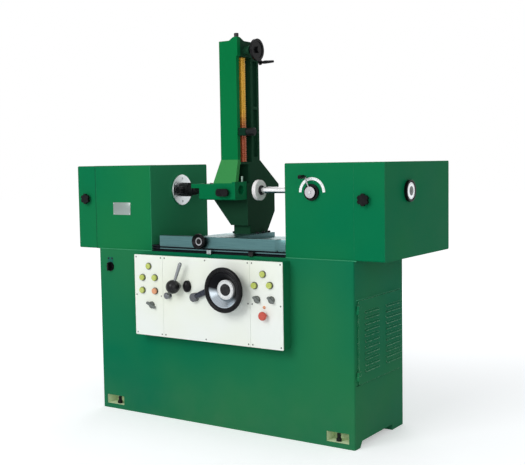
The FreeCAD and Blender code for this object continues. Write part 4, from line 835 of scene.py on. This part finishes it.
def reflection_dish():
    """The bright and black limits lie below the wheel's middle, along the tilted mask."""
    material, tree, shader = new_material("reflection_dish", metallic=0.9)
    axes = object_axes(tree)
    across = math_node(tree, "MULTIPLY", axes["X"], DISH_TILT)
    tilted = math_node(tree, "ADD", axes["Z"], across)
    middle = dial_middle.z + DISH_TILT * dial_middle.x
    dark_reflection = spread(tree, tilted, middle - BRIGHT_BELOW, middle - BLACK_ABOVE)
    patches = math_node(tree, "MULTIPLY", noise(tree, 38.0, 5), 0.12)
    mask = math_node(tree, "ADD", dark_reflection, patches, True)
    # Painted reflection: black above the mask's edge, bright metal below.
    colour = mix_colours(tree, mask, (0.38, 0.43, 0.47, 1), (0.006, 0.006, 0.008, 1))
    tree.links.new(colour, shader.inputs["Base Color"])
    rough = math_node(tree, "MULTIPLY", mask, 0.12)
    tree.links.new(math_node(tree, "ADD", rough, 0.26), shader.inputs["Roughness"])
    add_bump(tree, shader, patches, 0.1)
    return material


dish_finish = reflection_dish()
print(dish_finish.name)

# %% [markdown]
# Now each ready made part gets its finish. A part's mesh keeps its shape; only the material in its
# slots changes. The list is written by finish, so it can be read like a paint shop's order.

# %% Dress the parts
FINISHES = (
    (cabinet_enamel, "cabinet_base panel_housing"),
    (door_enamel, "cabinet_door"),
    (left_head_enamel, "left_head_housing"),
    (head_enamel, "right_head_housing left_end_cover right_end_cover"),
    (column_enamel, "fixture_column"),
    (fixture_enamel, "guide_arm"),
    (slide_enamel, "column_slide"),
    (motor_grey, "boring_motor grinding_motor"),
    (panel_white, "panel_plates"),
    (lime_plastic, "indicator_lamps button_left_upper_a button_left_upper_b button_left_lower_a "
                   "button_right_upper_a button_right_upper_b"),
    (orange_plastic, "button_left_lower_b"),
    (red_plastic, "emergency_stop"),
    (grey_plastic, "selector_left selector_right_a selector_right_b"),
    (black_plastic, "main_switch throttle_knob handwheel_rim cross_feed_knob arm_clamp_knob "
                    "crank_wheel crank_handle left_cover_knob right_cover_knob feed_dial "
                    "feed_disc feed_lever_grip"),
    (black_steel, "levelling_screws small_end_pin boring_bar boring_motor_pulley "
                  "grinding_motor_pulley wheel_flange"),
    (bezel_metal, "control_bezels"),
    (knob_chrome, "chrome_knob"),
    (chrome, "feed_lever"),
    (table_steel, "saddle cross_slide"),
    (bed_steel, "machine_bed"),
    (plain_steel, "boring_spindle lead_screw"),
    (polished_steel, "grinding_spindle"),
    (face_steel, "boring_face_plate"),
    (stone, "grinding_wheel"),
    (wiper_rubber, "drive_belts"),
    (lever_finish, "hydraulic_lever"),
    (reverse_finish, "reverse_lever"),
    (ring_finish, "handwheel_dial"),
    (dish_finish, "handwheel_dish"),
    (fitting_finish, "column_fittings"),
    (stop_finish, "travel_stops"),
)

undressed = set(nodes)
for finish, parts in FINISHES:
    for part in parts.split():
        for slot in nodes[part].material_slots:
            slot.material = finish
        undressed.remove(part)
print("parts without a finish", sorted(undressed))

# %% [markdown]
# The small pieces are drawn with bmesh, Blender's mesh kit. Most are turned parts, so the main
# helper spins an outline of radius and distance around an axis, as a lathe does. A ring of corners
# stands for each point of the outline, and skin joins the rings.

# %% Turned shapes
TURNS = {"X": Matrix.Rotation(math.radians(90), 4, "Y"),
         "Y": Matrix.Rotation(math.radians(-90), 4, "X"),
         "Z": Matrix.Identity(4)}


def skin(bm, rings, closed=True):
    """Covers the space between each ring of corners and the next with faces."""
    for first, second in zip(rings, rings[1:]):
        count = max(len(first), len(second))
        for step in range(count if closed else count - 1):
            after = (step + 1) % count
            corners = [first[step % len(first)], first[after % len(first)],
                       second[after % len(second)], second[step % len(second)]]
            corners = list(dict.fromkeys(corners))
            if len(corners) > 2:
                bm.faces.new(corners)


def lathe(bm, outline, place, axis="Z", steps=40):
    """Spins (radius, distance) points around an axis through place."""
    move = Matrix.Translation(Vector(place)) @ TURNS[axis]
    rings = []
    for radius, along in outline:
        if radius == 0:
            rings.append([bm.verts.new(move @ Vector((0, 0, along)))])
            continue
        ring = []
        for step in range(steps):
            angle = 2 * math.pi * step / steps
            point = Vector((radius * math.cos(angle), radius * math.sin(angle), along))
            ring.append(bm.verts.new(move @ point))
        rings.append(ring)
    skin(bm, rings)


print("a turned shape can lie along", " ".join(TURNS))

# %% [markdown]
# A finished bmesh becomes an object here.

# %% Make a piece
HARD_ANGLE = math.radians(35)


def make_piece(name, bm, material, body):
    """Turns a bmesh into an object that rides on a body of the machine."""
    bmesh.ops.recalc_face_normals(bm, faces=bm.faces)
    for face in bm.faces:
        face.smooth = True
    for edge in bm.edges:
        if len(edge.link_faces) == 2 and edge.calc_face_angle(0) > HARD_ANGLE:
            edge.smooth = False
    mesh = bpy.data.meshes.new(name)
    bm.to_mesh(mesh)
    bm.free()
    mesh.materials.append(material)
    piece = bpy.data.objects.new(name, mesh)
    scene.collection.objects.link(piece)
    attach(piece, body)
    return piece


print("corners are hard beyond", round(math.degrees(HARD_ANGLE)), "degrees")

# %% [markdown]
# Round head screws hold the three panel plates. Each is a low dome with a slot across it. The slot
# is the gap between two half domes, which is simpler than cutting and just as clean at this size.

# %% Panel screws
SCREW_RADIUS = 3.4 * MM
SCREW_RISE = 1.7 * MM
SCREW_INSET = 11 * MM
SLOT_HALF = 0.45 * MM
HALF_SQUASH = 0.86
DOME_STEPS = 12
DOME_LEVELS = 4
PANEL_SEAMS = (-0.254, 0.232)
PANEL_MIDDLE = -0.01


def half_dome(bm, centre, side):
    """Half of a screw's dome, on one side of its slot, facing the front."""
    rows = []
    for level in range(DOME_LEVELS + 1):
        lean = math.pi / 2 * level / DOME_LEVELS
        radius = SCREW_RADIUS * math.cos(lean)
        y = centre[1] - SCREW_RISE * math.sin(lean)
        row = []
        for step in range(DOME_STEPS + 1):
            angle = math.pi * step / DOME_STEPS
            x = centre[0] + radius * math.cos(angle)
            z = centre[2] + side * (radius * math.sin(angle) * HALF_SQUASH + SLOT_HALF)
            row.append(bm.verts.new((x, y, z)))
        rows.append(row)
    skin(bm, rows, closed=False)


def panel_screws():
    low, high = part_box("panel_plates")
    columns = [low.x + SCREW_INSET, PANEL_MIDDLE, high.x - SCREW_INSET]
    columns += [seam + side * SCREW_INSET for seam in PANEL_SEAMS for side in (-1, 1)]
    columns.sort()
    rows = (low.z + SCREW_INSET, (low.z + high.z) / 2, high.z - SCREW_INSET)
    bm = bmesh.new()
    for x in columns:
        for z in rows:
            behind_wheel = x == PANEL_MIDDLE and z == rows[1]
            for side in (-1, 1):
                if not behind_wheel:
                    half_dome(bm, (x, low.y, z), side)
    return make_piece("panel_screws", bm, black_steel, "machine")


screws = panel_screws()
print("panel screws", len(screws.data.polygons), "faces")

# %% [markdown]
# The lead screw carries a trapezoid thread: a flat crest, a flat groove and two short slopes. The
# helper gives its height at any share of a turn.

# %% Form of the thread
THREAD_SLOPE = 0.14


def ridge(share):
    """Height of the thread, from 0 in the groove to 1 on the crest."""
    share = share % 1
    if share < THREAD_SLOPE:
        return share / THREAD_SLOPE
    if share < 0.5:
        return 1
    if share < 0.5 + THREAD_SLOPE:
        return 1 - (share - 0.5) / THREAD_SLOPE
    return 0


print("thread height over a turn", [round(ridge(step / 10), 2) for step in range(10)])

# %% [markdown]
# The bar is a grid of rings whose radius rises and falls with height and angle together, so the
# ridge winds round it. A boolean cut along a helix would be slow and could leave torn faces. Plain
# journals and a cap close the ends.

# %% Threaded bar
SCREW_LEAD = 10 * MM
THREAD_DEPTH = 2.2 * MM
RINGS_PER_TURN = 10
RING_STEPS = 32
FOOT_LENGTH = 11 * MM
NECK_LENGTH = 22.5 * MM
JOURNAL_RADIUS = 10 * MM
CAP_WIDE = 15 * MM
CAP_NARROW = 8 * MM
CAP_HEIGHT = 7 * MM


def threaded_screw():
    low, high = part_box("lead_screw")
    x = (low.x + high.x) / 2
    y = (low.y + high.y) / 2
    crest = (high.x - low.x) / 2
    bottom = low.z + FOOT_LENGTH
    top = high.z - NECK_LENGTH
    bm = bmesh.new()
    count = int((top - bottom) / SCREW_LEAD * RINGS_PER_TURN)
    rings = []
    for row in range(count + 1):
        z = bottom + (top - bottom) * row / count
        ring = []
        for step in range(RING_STEPS):
            angle = 2 * math.pi * step / RING_STEPS
            share = (z - bottom) / SCREW_LEAD - step / RING_STEPS
            radius = crest - THREAD_DEPTH * (1 - ridge(share))
            ring.append(bm.verts.new((x + radius * math.cos(angle),
                                      y + radius * math.sin(angle), z)))
        rings.append(ring)
    skin(bm, rings)
    bm.faces.new(rings[0])
    bm.faces.new(rings[-1])
    lathe(bm, [(0, low.z), (JOURNAL_RADIUS, low.z), (JOURNAL_RADIUS, bottom), (0, bottom)],
          (x, y, 0))
    cap = high.z - CAP_HEIGHT
    lathe(bm, [(0, top), (JOURNAL_RADIUS, top), (JOURNAL_RADIUS, cap), (CAP_WIDE, cap),
               (CAP_NARROW, high.z), (0, high.z)], (x, y, 0))
    return bm


screw_mesh = threaded_screw()
print("thread faces", len(screw_mesh.faces))

# %% [markdown]
# The screw is warm bronze, orange at its foot, with a painted yellow highlight near its top, so the
# height mixes the two colours.

# %% Bronze lead screw
YELLOW_RISE = (1.36, 1.44)


def screw_bronze():
    material, tree, shader = new_material("screw_bronze", metallic=0.25, roughness=0.3)
    marks = use_group(tree, tool_marks, Stretch=(8.0, 8.0, 60.0), Scale=16.0)
    height = spread(tree, object_axes(tree)["Z"], *YELLOW_RISE)
    # The yellow near the top is a painted highlight.
    warm = mix_colours(tree, height, (0.48, 0.085, 0.03, 1), (0.90, 0.49, 0.035, 1))
    share = math_node(tree, "MULTIPLY", marks.outputs["Lines"], 0.35)
    tree.links.new(mix_colours(tree, share, warm, (0.3, 0.12, 0.03, 1)),
                   shader.inputs["Base Color"])
    add_bump(tree, shader, marks.outputs["Height"], 0.08)
    return material


screw_piece = make_piece("lead_screw_thread", screw_mesh, screw_bronze(), "lead_screw")
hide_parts("lead_screw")
print(screw_piece.name)

# %% [markdown]
# The right head has a white half ring behind the feed lever, with short black strokes to read the
# feed. The ring is a strip swept along an arc, and each stroke is a thin raised bar.

# %% Arc scale of the feed lever
ARC_OUTER = 63 * MM
ARC_INNER = 51 * MM
ARC_RISE = 2.4 * MM
ARC_STEPS = 48
STROKES = 19
SHORT_STROKE = 5 * MM
LONG_STROKE = 9 * MM
STROKE_HALF_ANGLE = 0.007
INK_RISE = 0.2 * MM

feed_centre = middle_of("feed_disc")
head_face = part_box("right_head_housing")[0].y
scale_face = head_face - ARC_RISE


def arc_strip(bm, inner, outer, back, front, start, end, steps):
    """A flat strip of an arc around the feed shaft, with thickness, that faces the front."""
    loops = []
    for step in range(steps + 1):
        angle = start + (end - start) * step / steps
        loops.append([bm.verts.new((feed_centre.x + radius * math.cos(angle), y,
                                    feed_centre.z + radius * math.sin(angle)))
                      for radius, y in ((inner, back), (outer, back), (outer, front),
                                        (inner, front))])
    skin(bm, loops)
    bm.faces.new(loops[0])
    bm.faces.new(loops[-1])


bm = bmesh.new()
arc_strip(bm, ARC_INNER, ARC_OUTER, head_face, scale_face, 0, math.pi, ARC_STEPS)
make_piece("arc_scale", bm, plate_white, "machine")
bm = bmesh.new()
for stroke in range(STROKES):
    angle = math.pi * (stroke + 1) / (STROKES + 1)
    reach = ARC_OUTER - (LONG_STROKE if stroke % 3 == 0 else SHORT_STROKE)
    arc_strip(bm, reach, ARC_OUTER - 1 * MM, scale_face, scale_face - INK_RISE,
              angle - STROKE_HALF_ANGLE, angle + STROKE_HALF_ANGLE, 1)
make_piece("arc_scale_strokes", bm, black_plastic, "machine")
print("arc strokes", STROKES)

# %% [markdown]
# A pale face lies in the middle of the feed disc. It is turned with a soft shoulder, so its rim
# catches the light. A piece that is one turned shape comes up again, so it has a helper.

# %% Face of the feed disc
FACE_RADIUS = 24.5 * MM
FACE_RISE = 2.4 * MM
FACE_SHOULDER = 1.2 * MM

disc_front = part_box("feed_disc")[0].y


def turned_piece(name, outline, place, axis, steps, material, body):
    """A piece that is one turned shape."""
    bm = bmesh.new()
    lathe(bm, outline, place, axis, steps)
    return make_piece(name, bm, material, body)


turned_piece("feed_disc_face",
             [(0, 0), (FACE_RADIUS, 0), (FACE_RADIUS, -FACE_RISE * 0.6),
              (FACE_RADIUS - FACE_SHOULDER, -FACE_RISE), (0, -FACE_RISE)],
             (feed_centre.x, disc_front, feed_centre.z), "Y", 56,
             disc_alloy, "feed_lever")
print("feed disc face at", round(disc_front, 4))

# %% [markdown]
# A socket screw holds that face, and more of them come later. Its head is one turned outline that
# goes up the side, over a small chamfer and down into the socket. A sign turns it round where it
# has to point against its axis.

# %% Socket screw in the face
SOCKET_SHARE = 0.55
SOCKET_DEPTH_SHARE = 0.45
CHAMFER_FOOT_SHARE = 0.85
CHAMFER_TOP_SHARE = 0.88


def socket_screw(bm, place, axis, radius, rise, sign=1):
    """A cap screw's head with a round socket, standing along an axis or, with -1, against it."""
    socket = radius * SOCKET_SHARE
    top = sign * rise
    bottom = sign * (rise - rise * SOCKET_DEPTH_SHARE)
    lathe(bm, [(0, 0), (radius, 0), (radius, top * CHAMFER_FOOT_SHARE),
               (radius * CHAMFER_TOP_SHARE, top), (socket, top), (socket, bottom), (0, bottom)],
          place, axis, 24)


bm = bmesh.new()
socket_screw(bm, (feed_centre.x, disc_front - FACE_RISE, feed_centre.z), "Y", 6 * MM, 3.5 * MM, -1)
disc_screw = make_piece("feed_disc_screw", bm, plain_steel, "feed_lever")
print(disc_screw.name)

# %% [markdown]
# The feed dial on the right end has a white ring with strokes around a grey centre. Both sit in the
# shallow recess of its black rim. They are two turned pieces, because their finishes differ.

# %% Ring and centre of the feed dial
DIAL_RING = 35.5 * MM
DIAL_INNER = 20 * MM
DIAL_RISE = 2.2 * MM
RECESS_DEPTH = 3 * MM

dial_centre = middle_of("feed_dial")
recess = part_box("feed_dial")[1].x - RECESS_DEPTH
dial_place = (recess, dial_centre.y, dial_centre.z)
turned_piece("feed_dial_ring",
             [(DIAL_INNER, 0), (DIAL_RING, 0), (DIAL_RING, 1.6 * MM),
              (DIAL_RING - 1 * MM, DIAL_RISE), (DIAL_INNER, DIAL_RISE), (DIAL_INNER, 0)],
             dial_place, "X", 64, face_steel, "feed_dial")
rim = DIAL_INNER - 0.4 * MM
turned_piece("feed_dial_centre",
             [(0, 0), (rim, 0), (rim, 1.4 * MM), (DIAL_INNER - 3 * MM, 2.4 * MM),
              (6 * MM, 2.6 * MM), (5 * MM, 1.6 * MM), (0, 1.6 * MM)],
             dial_place, "X", 56, grey_plastic, "feed_dial")
print("dial recess at", round(recess, 4))

# %% [markdown]
# Strokes on a turned ring repeat around its axis. They could be painted by a texture, but a raised
# bar keeps its sharp edge in a close view. One function makes them for any ring, and the
# handwheel's dial uses it as well.

# %% Strokes around the dials
STROKE_LENGTH = 4 * MM
STROKE_HALF_WIDTH = 0.25 * MM
STROKE_RISE = 0.15 * MM
DIAL_STROKES = 50
WHEEL_STROKES = 80
WHEEL_RING = 41.5 * MM
RING_SET_BACK = 4 * MM


def ring_strokes(bm, centre, axis, radius, count, rise):
    """Raised strokes on a flat ring, pointing at its axis; every fifth one is longer."""
    for stroke in range(count):
        reach = STROKE_LENGTH * (1.5 if stroke % 5 == 0 else 1)
        angle = 2 * math.pi * stroke / count
        lower, upper = [], []
        for along, across in ((0, -1), (0, 1), (-1, 1), (-1, -1)):
            r = radius + along * reach
            a = across * STROKE_HALF_WIDTH
            first = r * math.cos(angle) - a * math.sin(angle)
            second = r * math.sin(angle) + a * math.cos(angle)
            for corners, shift in ((lower, 0), (upper, rise)):
                step = (shift, first, second) if axis == "X" else (first, shift, second)
                corners.append(bm.verts.new([c + s for c, s in zip(centre, step)]))
        bm.faces.new(upper)
        skin(bm, (lower, upper))


bm = bmesh.new()
ring_strokes(bm, (recess + DIAL_RISE, dial_centre.y, dial_centre.z), "X",
             DIAL_RING - 1.6 * MM, DIAL_STROKES, STROKE_RISE)
make_piece("feed_dial_strokes", bm, black_plastic, "feed_dial")
ring_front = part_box("handwheel_dial")[0].y + RING_SET_BACK
bm = bmesh.new()
ring_strokes(bm, (dial_middle.x, ring_front, dial_middle.z), "Y",
             WHEEL_RING, WHEEL_STROKES, -STROKE_RISE)
make_piece("handwheel_strokes", bm, black_plastic, "handwheel")
print("dial strokes ready")

# %% [markdown]
# The anchor pockets are painted cream inside. A mask in the cabinet's enamel could do that, but
# four pockets would take many masks. A thin liner with five sides is simpler: it stands just off
# the pocket's walls, open to the front or to the back.

# %% Pocket liners
POCKET_X = (0.570, 0.678)
POCKET_Z = (0.022, 0.066)
POCKET_DEPTH = 70 * MM
CABINET_HALF_DEPTH = 0.234
LINER_GAP = 0.4 * MM
MOUTH_GAP = 1.2 * MM


def pocket_liner(bm, side_x, side_y):
    low_x, high_x = sorted((side_x * POCKET_X[0], side_x * POCKET_X[1]))
    x0, x1 = low_x + LINER_GAP, high_x - LINER_GAP
    z0, z1 = POCKET_Z[0] + LINER_GAP, POCKET_Z[1] - LINER_GAP
    mouth, deep = [[bm.verts.new((x, side_y * (CABINET_HALF_DEPTH - inset), z))
                    for x, z in ((x0, z0), (x1, z0), (x1, z1), (x0, z1))]
                   for inset in (MOUTH_GAP, POCKET_DEPTH - LINER_GAP)]
    skin(bm, (mouth, deep))
    bm.faces.new(deep)


bm = bmesh.new()
for side_x in (-1, 1):
    for side_y in (-1, 1):
        pocket_liner(bm, side_x, side_y)
make_piece("pocket_liners", bm, pocket_cream, "machine")
print("pocket liners 4")

# %% [markdown]
# Socket screws hold the face plate, the column's foot and the arm. They are small, but a machine
# without them looks like a toy. Each group of screws is one piece, since its screws move together.

# %% Socket screws
PLATE_BOLTS = 6
BOLT_CIRCLE = 56 * MM
FOOT_INSET = 22 * MM
FOOT_SHARES = (0.7, 0.83, 0.95)
ARM_SCREWS_X = (-0.205, -0.165)
ARM_SCREWS_Y = (-0.022, 0.022)
ARM_SCREWS_SUNK = 9 * MM


def face_plate_screws():
    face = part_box("boring_face_plate")[1].x
    centre = middle_of("boring_face_plate")
    bm = bmesh.new()
    for step in range(PLATE_BOLTS):
        angle = math.pi * (2 * step + 1) / PLATE_BOLTS
        place = (face, centre.y + BOLT_CIRCLE * math.cos(angle),
                 centre.z + BOLT_CIRCLE * math.sin(angle))
        socket_screw(bm, place, "X", 5 * MM, 2.6 * MM)
    return make_piece("face_plate_screws", bm, plain_steel, "boring_spindle")


def foot_screws():
    low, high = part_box("cross_slide")
    bm = bmesh.new()
    for x in (low.x + FOOT_INSET, high.x - FOOT_INSET):
        for share in FOOT_SHARES:
            place = (x, low.y + share * (high.y - low.y), high.z)
            socket_screw(bm, place, "Z", 8 * MM, 8 * MM)
    return make_piece("foot_screws", bm, black_steel, "cross_table")


def arm_screws():
    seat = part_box("guide_arm")[1].z - ARM_SCREWS_SUNK
    bm = bmesh.new()
    for x in ARM_SCREWS_X:
        for y in ARM_SCREWS_Y:
            socket_screw(bm, (x, y, seat), "Z", 5 * MM, 3.5 * MM)
    return make_piece("arm_screws", bm, black_steel, "cross_table")


for piece in (face_plate_screws(), foot_screws(), arm_screws()):
    print(piece.name, len(piece.data.polygons))

# %% [markdown]
# Flat pieces such as strips and plates are boxes. A cube is scaled to its place between two
# corners, and a small bevel rounds its edges, because a perfectly sharp edge catches no light.

# %% Blocks
def block(bm, low, high, bevel=0.0):
    """A box between two corners, with its edges rounded by a small bevel."""
    low, high = Vector(low), Vector(high)
    verts = bmesh.ops.create_cube(bm, size=1.0)["verts"]
    bmesh.ops.scale(bm, vec=high - low, verts=verts)
    bmesh.ops.translate(bm, vec=(low + high) / 2, verts=verts)
    if bevel > 0:
        edges = list(dict.fromkeys(edge for vert in verts for edge in vert.link_edges))
        bmesh.ops.bevel(bm, geom=edges, offset=bevel, segments=2, affect="EDGES", profile=0.5)


print("blocks ready")

# %% [markdown]
# Rubber wipers keep grit off the ways. Each is a strip behind a thin plate at one end of the table,
# with its lip just over the bed. They stay inside the short gaps that the table's travel leaves.

# %% Way wipers
LIP_THICK = 4 * MM
LIP_CLEAR = 0.2 * MM
WIPER_THICK = 2 * MM
WIPER_HEIGHT = 12 * MM
WIPER_RAISED = 3 * MM
WAY_INSET = 4 * MM
FRONT_WAY_END = 124 * MM
REAR_WAY_START = 40 * MM


def end_strip(bm, start, thick, way, z0, z1, bevel):
    """A strip across a way. It starts at an end of the table, and its thickness has a sign."""
    x0, x1 = sorted((start, start + thick))
    block(bm, (x0, way[0], z0), (x1, way[1], z1), bevel)


def way_wipers():
    low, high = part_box("saddle")
    bed_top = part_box("machine_bed")[1].z
    front_way = (low.y + WAY_INSET, low.y + FRONT_WAY_END)
    rear_way = (high.y - REAR_WAY_START, high.y - WAY_INSET)
    strips = bmesh.new()
    plates = bmesh.new()
    for end, sign in ((low.x, -1), (high.x, 1)):
        for way in (front_way, rear_way):
            end_strip(strips, end, sign * LIP_THICK, way, bed_top + LIP_CLEAR,
                      bed_top + WIPER_HEIGHT, 0.5 * MM)
            end_strip(plates, end + sign * LIP_THICK, sign * WIPER_THICK, way,
                      bed_top + WIPER_RAISED, bed_top + WIPER_HEIGHT + 1 * MM, 0.4 * MM)
    make_piece("way_wipers", strips, wiper_rubber, "saddle")
    return make_piece("wiper_plates", plates, black_steel, "saddle")


print(way_wipers().name)

# %% [markdown]
# A thin sheet guard bridges the gap between the table's apron and the right head, so that chips
# stay off the front way. It is fixed to the lip of the bed, and the apron slides behind it. One
# block is the sheet, and a second one is the flange that carries it.

# %% Way guard
GUARD_BACK = 0.3 * MM
GUARD_FRONT = 1.5 * MM
GUARD_OVERLAP = 3 * MM
GUARD_DROP = 5.5 * MM
GUARD_GAP = 0.2 * MM
GUARD_SCREW_RAISED = 2.8 * MM


def way_guard():
    saddle_low, saddle_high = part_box("saddle")
    bed_low, bed_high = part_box("machine_bed")
    face = saddle_low.y
    front = face - GUARD_FRONT
    x0 = saddle_high.x - GUARD_OVERLAP
    x1 = bed_high.x - GUARD_GAP
    bottom = bed_high.z - GUARD_DROP
    bm = bmesh.new()
    block(bm, (x0, front, bottom), (x1, face - GUARD_BACK, saddle_high.z), 0.3 * MM)
    block(bm, (x0 + 4 * MM, face - GUARD_FRONT / 2, bottom),
          (x1 - 1 * MM, bed_low.y, bed_high.z - GUARD_GAP))
    make_piece("way_guard", bm, table_steel, "machine")
    bm = bmesh.new()
    for x in (x0 + 10 * MM, x1 - 8 * MM):
        socket_screw(bm, (x, front, bottom + GUARD_SCREW_RAISED), "Y", 2.2 * MM, 1.4 * MM, -1)
    return make_piece("guard_screws", bm, black_steel, "machine")


print(way_guard().name)

# %% [markdown]
# A painted lip over the side door and a rubber strip under it keep coolant out; the lip's pale
# green is a painted highlight. Both are long blocks with a small gap to the door, so that it swings
# freely. The main switch has a small plate behind it, held by two screws at its top.

# %% Lip and seal of the door, switch plate
SEAL_WIDE = 3.2 * MM
SEAL_PROUD = 1.4 * MM
SEAL_BACK = 0.3 * MM
SEAL_GAP = 0.6 * MM
PLATE_HALF_WIDTH = 17 * MM
PLATE_BOTTOM = 10 * MM
PLATE_TOP = 46 * MM
PLATE_THICK = 1.2 * MM
PLATE_SCREW_INSET = 6 * MM
PLATE_SCREW_DROP = 7 * MM


def door_strips():
    low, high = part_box("cabinet_door")
    back = low.x - SEAL_BACK
    for name, z0, finish, slot in (
            ("door_lip", high.z + SEAL_GAP, highlight_bead_enamel, "cabinet_paint"),
            ("door_seal", low.z - SEAL_GAP - SEAL_WIDE, gasket_green, "belt_rubber")):
        bm = bmesh.new()
        block(bm, (back, low.y, z0), (back + SEAL_PROUD, high.y, z0 + SEAL_WIDE), 0.4 * MM)
        make_piece(name, bm, finish, "machine")


def switch_plate():
    """The plate starts above the middle of the switch, so it stays clear of its shaft."""
    centre = middle_of("main_switch")
    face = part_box("cabinet_base")[0].y
    front = face - PLATE_THICK
    x0, x1 = centre.x - PLATE_HALF_WIDTH, centre.x + PLATE_HALF_WIDTH
    bm = bmesh.new()
    block(bm, (x0, front, centre.z + PLATE_BOTTOM), (x1, face, centre.z + PLATE_TOP), 0.4 * MM)
    make_piece("switch_plate", bm, plate_enamel, "machine")
    bm = bmesh.new()
    z = centre.z + PLATE_TOP - PLATE_SCREW_DROP
    for x in (x0 + PLATE_SCREW_INSET, x1 - PLATE_SCREW_INSET):
        socket_screw(bm, (x, front, z), "Y", 4 * MM, 2 * MM, -1)
    make_piece("switch_plate_screws", bm, black_steel, "machine")


door_strips()
switch_plate()
print("door strips and switch plate ready")

# %% [markdown]
# The small cross feed wheel has a bright ring around a black nut in its dished face. Both are
# turned shapes: with only six steps round, the same helper gives the nut its flats.

# %% Ring and nut of the cross feed wheel
KNOB_DISH = 11 * MM


def cross_wheel_face():
    centre = middle_of("cross_feed_knob")
    place = (centre.x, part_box("cross_feed_knob")[0].y + KNOB_DISH, centre.z)
    turned_piece("cross_wheel_nut",
                 [(9 * MM, 0), (9 * MM, -5 * MM), (7.6 * MM, -6 * MM), (0, -6 * MM)],
                 place, "Y", 6, black_steel, "cross_feed_knob")
    return turned_piece("cross_wheel_ring",
                        [(12 * MM, 0), (19 * MM, 0), (18.4 * MM, -2.2 * MM),
                         (12.6 * MM, -2.6 * MM), (12 * MM, 0)],
                        place, "Y", 48, chrome, "cross_feed_knob")


print(cross_wheel_face().name)

# %% [markdown]
# A thick moulded sleeve covers the arm of the reverse lever. It runs along a slanting line, so the
# turned shape is made upright at the origin first and then laid between the hub and the tip.

# %% Sleeve of the reverse lever
SLEEVE_RADIUS = 13.5 * MM
HUB_CLEAR = 13 * MM
HUB_DEPTH = 11 * MM
TIP_RADIUS = 8 * MM


def turned_between(bm, outline, start, end):
    """A lathe shape, alone in its bmesh, whose axis runs from one point to another."""
    lathe(bm, outline, (0, 0, 0), "Z", 32)
    turn = (end - start).to_track_quat("Z", "Y").to_matrix().to_4x4()
    bmesh.ops.transform(bm, matrix=Matrix.Translation(start) @ turn, verts=bm.verts)


def reverse_sleeve():
    low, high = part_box("reverse_lever")
    hub = Vector((low.x + HUB_RADIUS, low.y + HUB_DEPTH, low.z + HUB_RADIUS))
    tip = Vector((high.x - TIP_RADIUS, hub.y, high.z - TIP_RADIUS))
    length = (tip - hub).length
    bm = bmesh.new()
    turned_between(bm, [(0, HUB_CLEAR), (SLEEVE_RADIUS - 1 * MM, HUB_CLEAR),
                        (SLEEVE_RADIUS, HUB_CLEAR + 1.5 * MM), (SLEEVE_RADIUS, length - 6 * MM),
                        (SLEEVE_RADIUS - 2 * MM, length), (SLEEVE_RADIUS - 6 * MM, length + 4 * MM),
                        (0, length + 5 * MM)], hub, tip)
    return make_piece("reverse_sleeve", bm, navy_plastic, "reverse_lever")


print(reverse_sleeve().name)

# %% [markdown]
# A thin painted gasket seals the left end cover against its head, and only its edge shows, as a
# dark line round the box. Where the heads stand on the cabinet lies a bead of filler, painted pale
# as a painted highlight.
# Only the edge of the gasket is made, and each bead is a thin rod that is half sunk into its joint.

# %% Cover gasket and joint beads
GASKET_WIDE = 2.2 * MM
GASKET_PROUD = 0.5 * MM
BEAD_RADIUS = 2.3 * MM
BEAD_END = 4 * MM


def cover_gasket():
    """A thin edge beside the seam, just proud of the head's front and top."""
    low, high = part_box("left_head_housing")
    front = low.y - GASKET_PROUD
    top = high.z + GASKET_PROUD
    bm = bmesh.new()
    block(bm, (low.x, front, low.z), (low.x + GASKET_WIDE, low.y, top))
    block(bm, (low.x, low.y, high.z), (low.x + GASKET_WIDE, high.y, top))
    return make_piece("cover_gasket", bm, gasket_green, "machine")


def joint_bead(bm, x0, x1, y, z):
    """A round bead along X, half sunk into the joint."""
    lathe(bm, [(0, 0), (BEAD_RADIUS, 0), (BEAD_RADIUS, x1 - x0), (0, x1 - x0)], (x0, y, z), "X", 12)


def joint_beads():
    left_low, left_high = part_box("left_head_housing")
    right_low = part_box("right_head_housing")[0]
    cabinet_low, cabinet_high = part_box("cabinet_base")
    bm = bmesh.new()
    joint_bead(bm, cabinet_low.x + BEAD_END, left_high.x, left_low.y, cabinet_high.z)
    joint_bead(bm, right_low.x, cabinet_high.x - BEAD_END, right_low.y, cabinet_high.z)
    return make_piece("joint_beads", bm, highlight_bead_enamel, "machine")


print("seams", cover_gasket().name, joint_beads().name)

# %% [markdown]
# A bare plate is riveted to the front of the left head, and a small orange lens sits over the stop
# button. The plate is a block, and its rivets and the lens are turned. Neither carries any words.

# %% Bare plate and pilot lens
PLATE_X = (-0.613, -0.503)
PLATE_Z = (0.958, 1.018)
RIVET_INSET = 5 * MM
LENS_X = 0.306
LENS_Z = 0.580

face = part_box("left_head_housing")[0].y
front = face - PLATE_THICK
bm = bmesh.new()
block(bm, (PLATE_X[0], front, PLATE_Z[0]), (PLATE_X[1], face, PLATE_Z[1]), 0.5 * MM)
make_piece("bare_plate", bm, plate_alloy, "machine")
bm = bmesh.new()
for x in (PLATE_X[0] + RIVET_INSET, PLATE_X[1] - RIVET_INSET):
    for z in (PLATE_Z[0] + RIVET_INSET, PLATE_Z[1] - RIVET_INSET):
        lathe(bm, [(2.2 * MM, 0), (2 * MM, -0.8 * MM), (1.2 * MM, -1.4 * MM), (0, -1.6 * MM)],
              (x, front, z), "Y", 16)
make_piece("plate_rivets", bm, plain_steel, "machine")
turned_piece("pilot_lens",
             [(7 * MM, 0), (7 * MM, -2 * MM), (5.6 * MM, -3 * MM), (5 * MM, -5 * MM),
              (3 * MM, -6.4 * MM), (0, -7 * MM)],
             (LENS_X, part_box("panel_plates")[0].y, LENS_Z), "Y", 32,
             orange_plastic, "machine")
print("plate and lens ready")
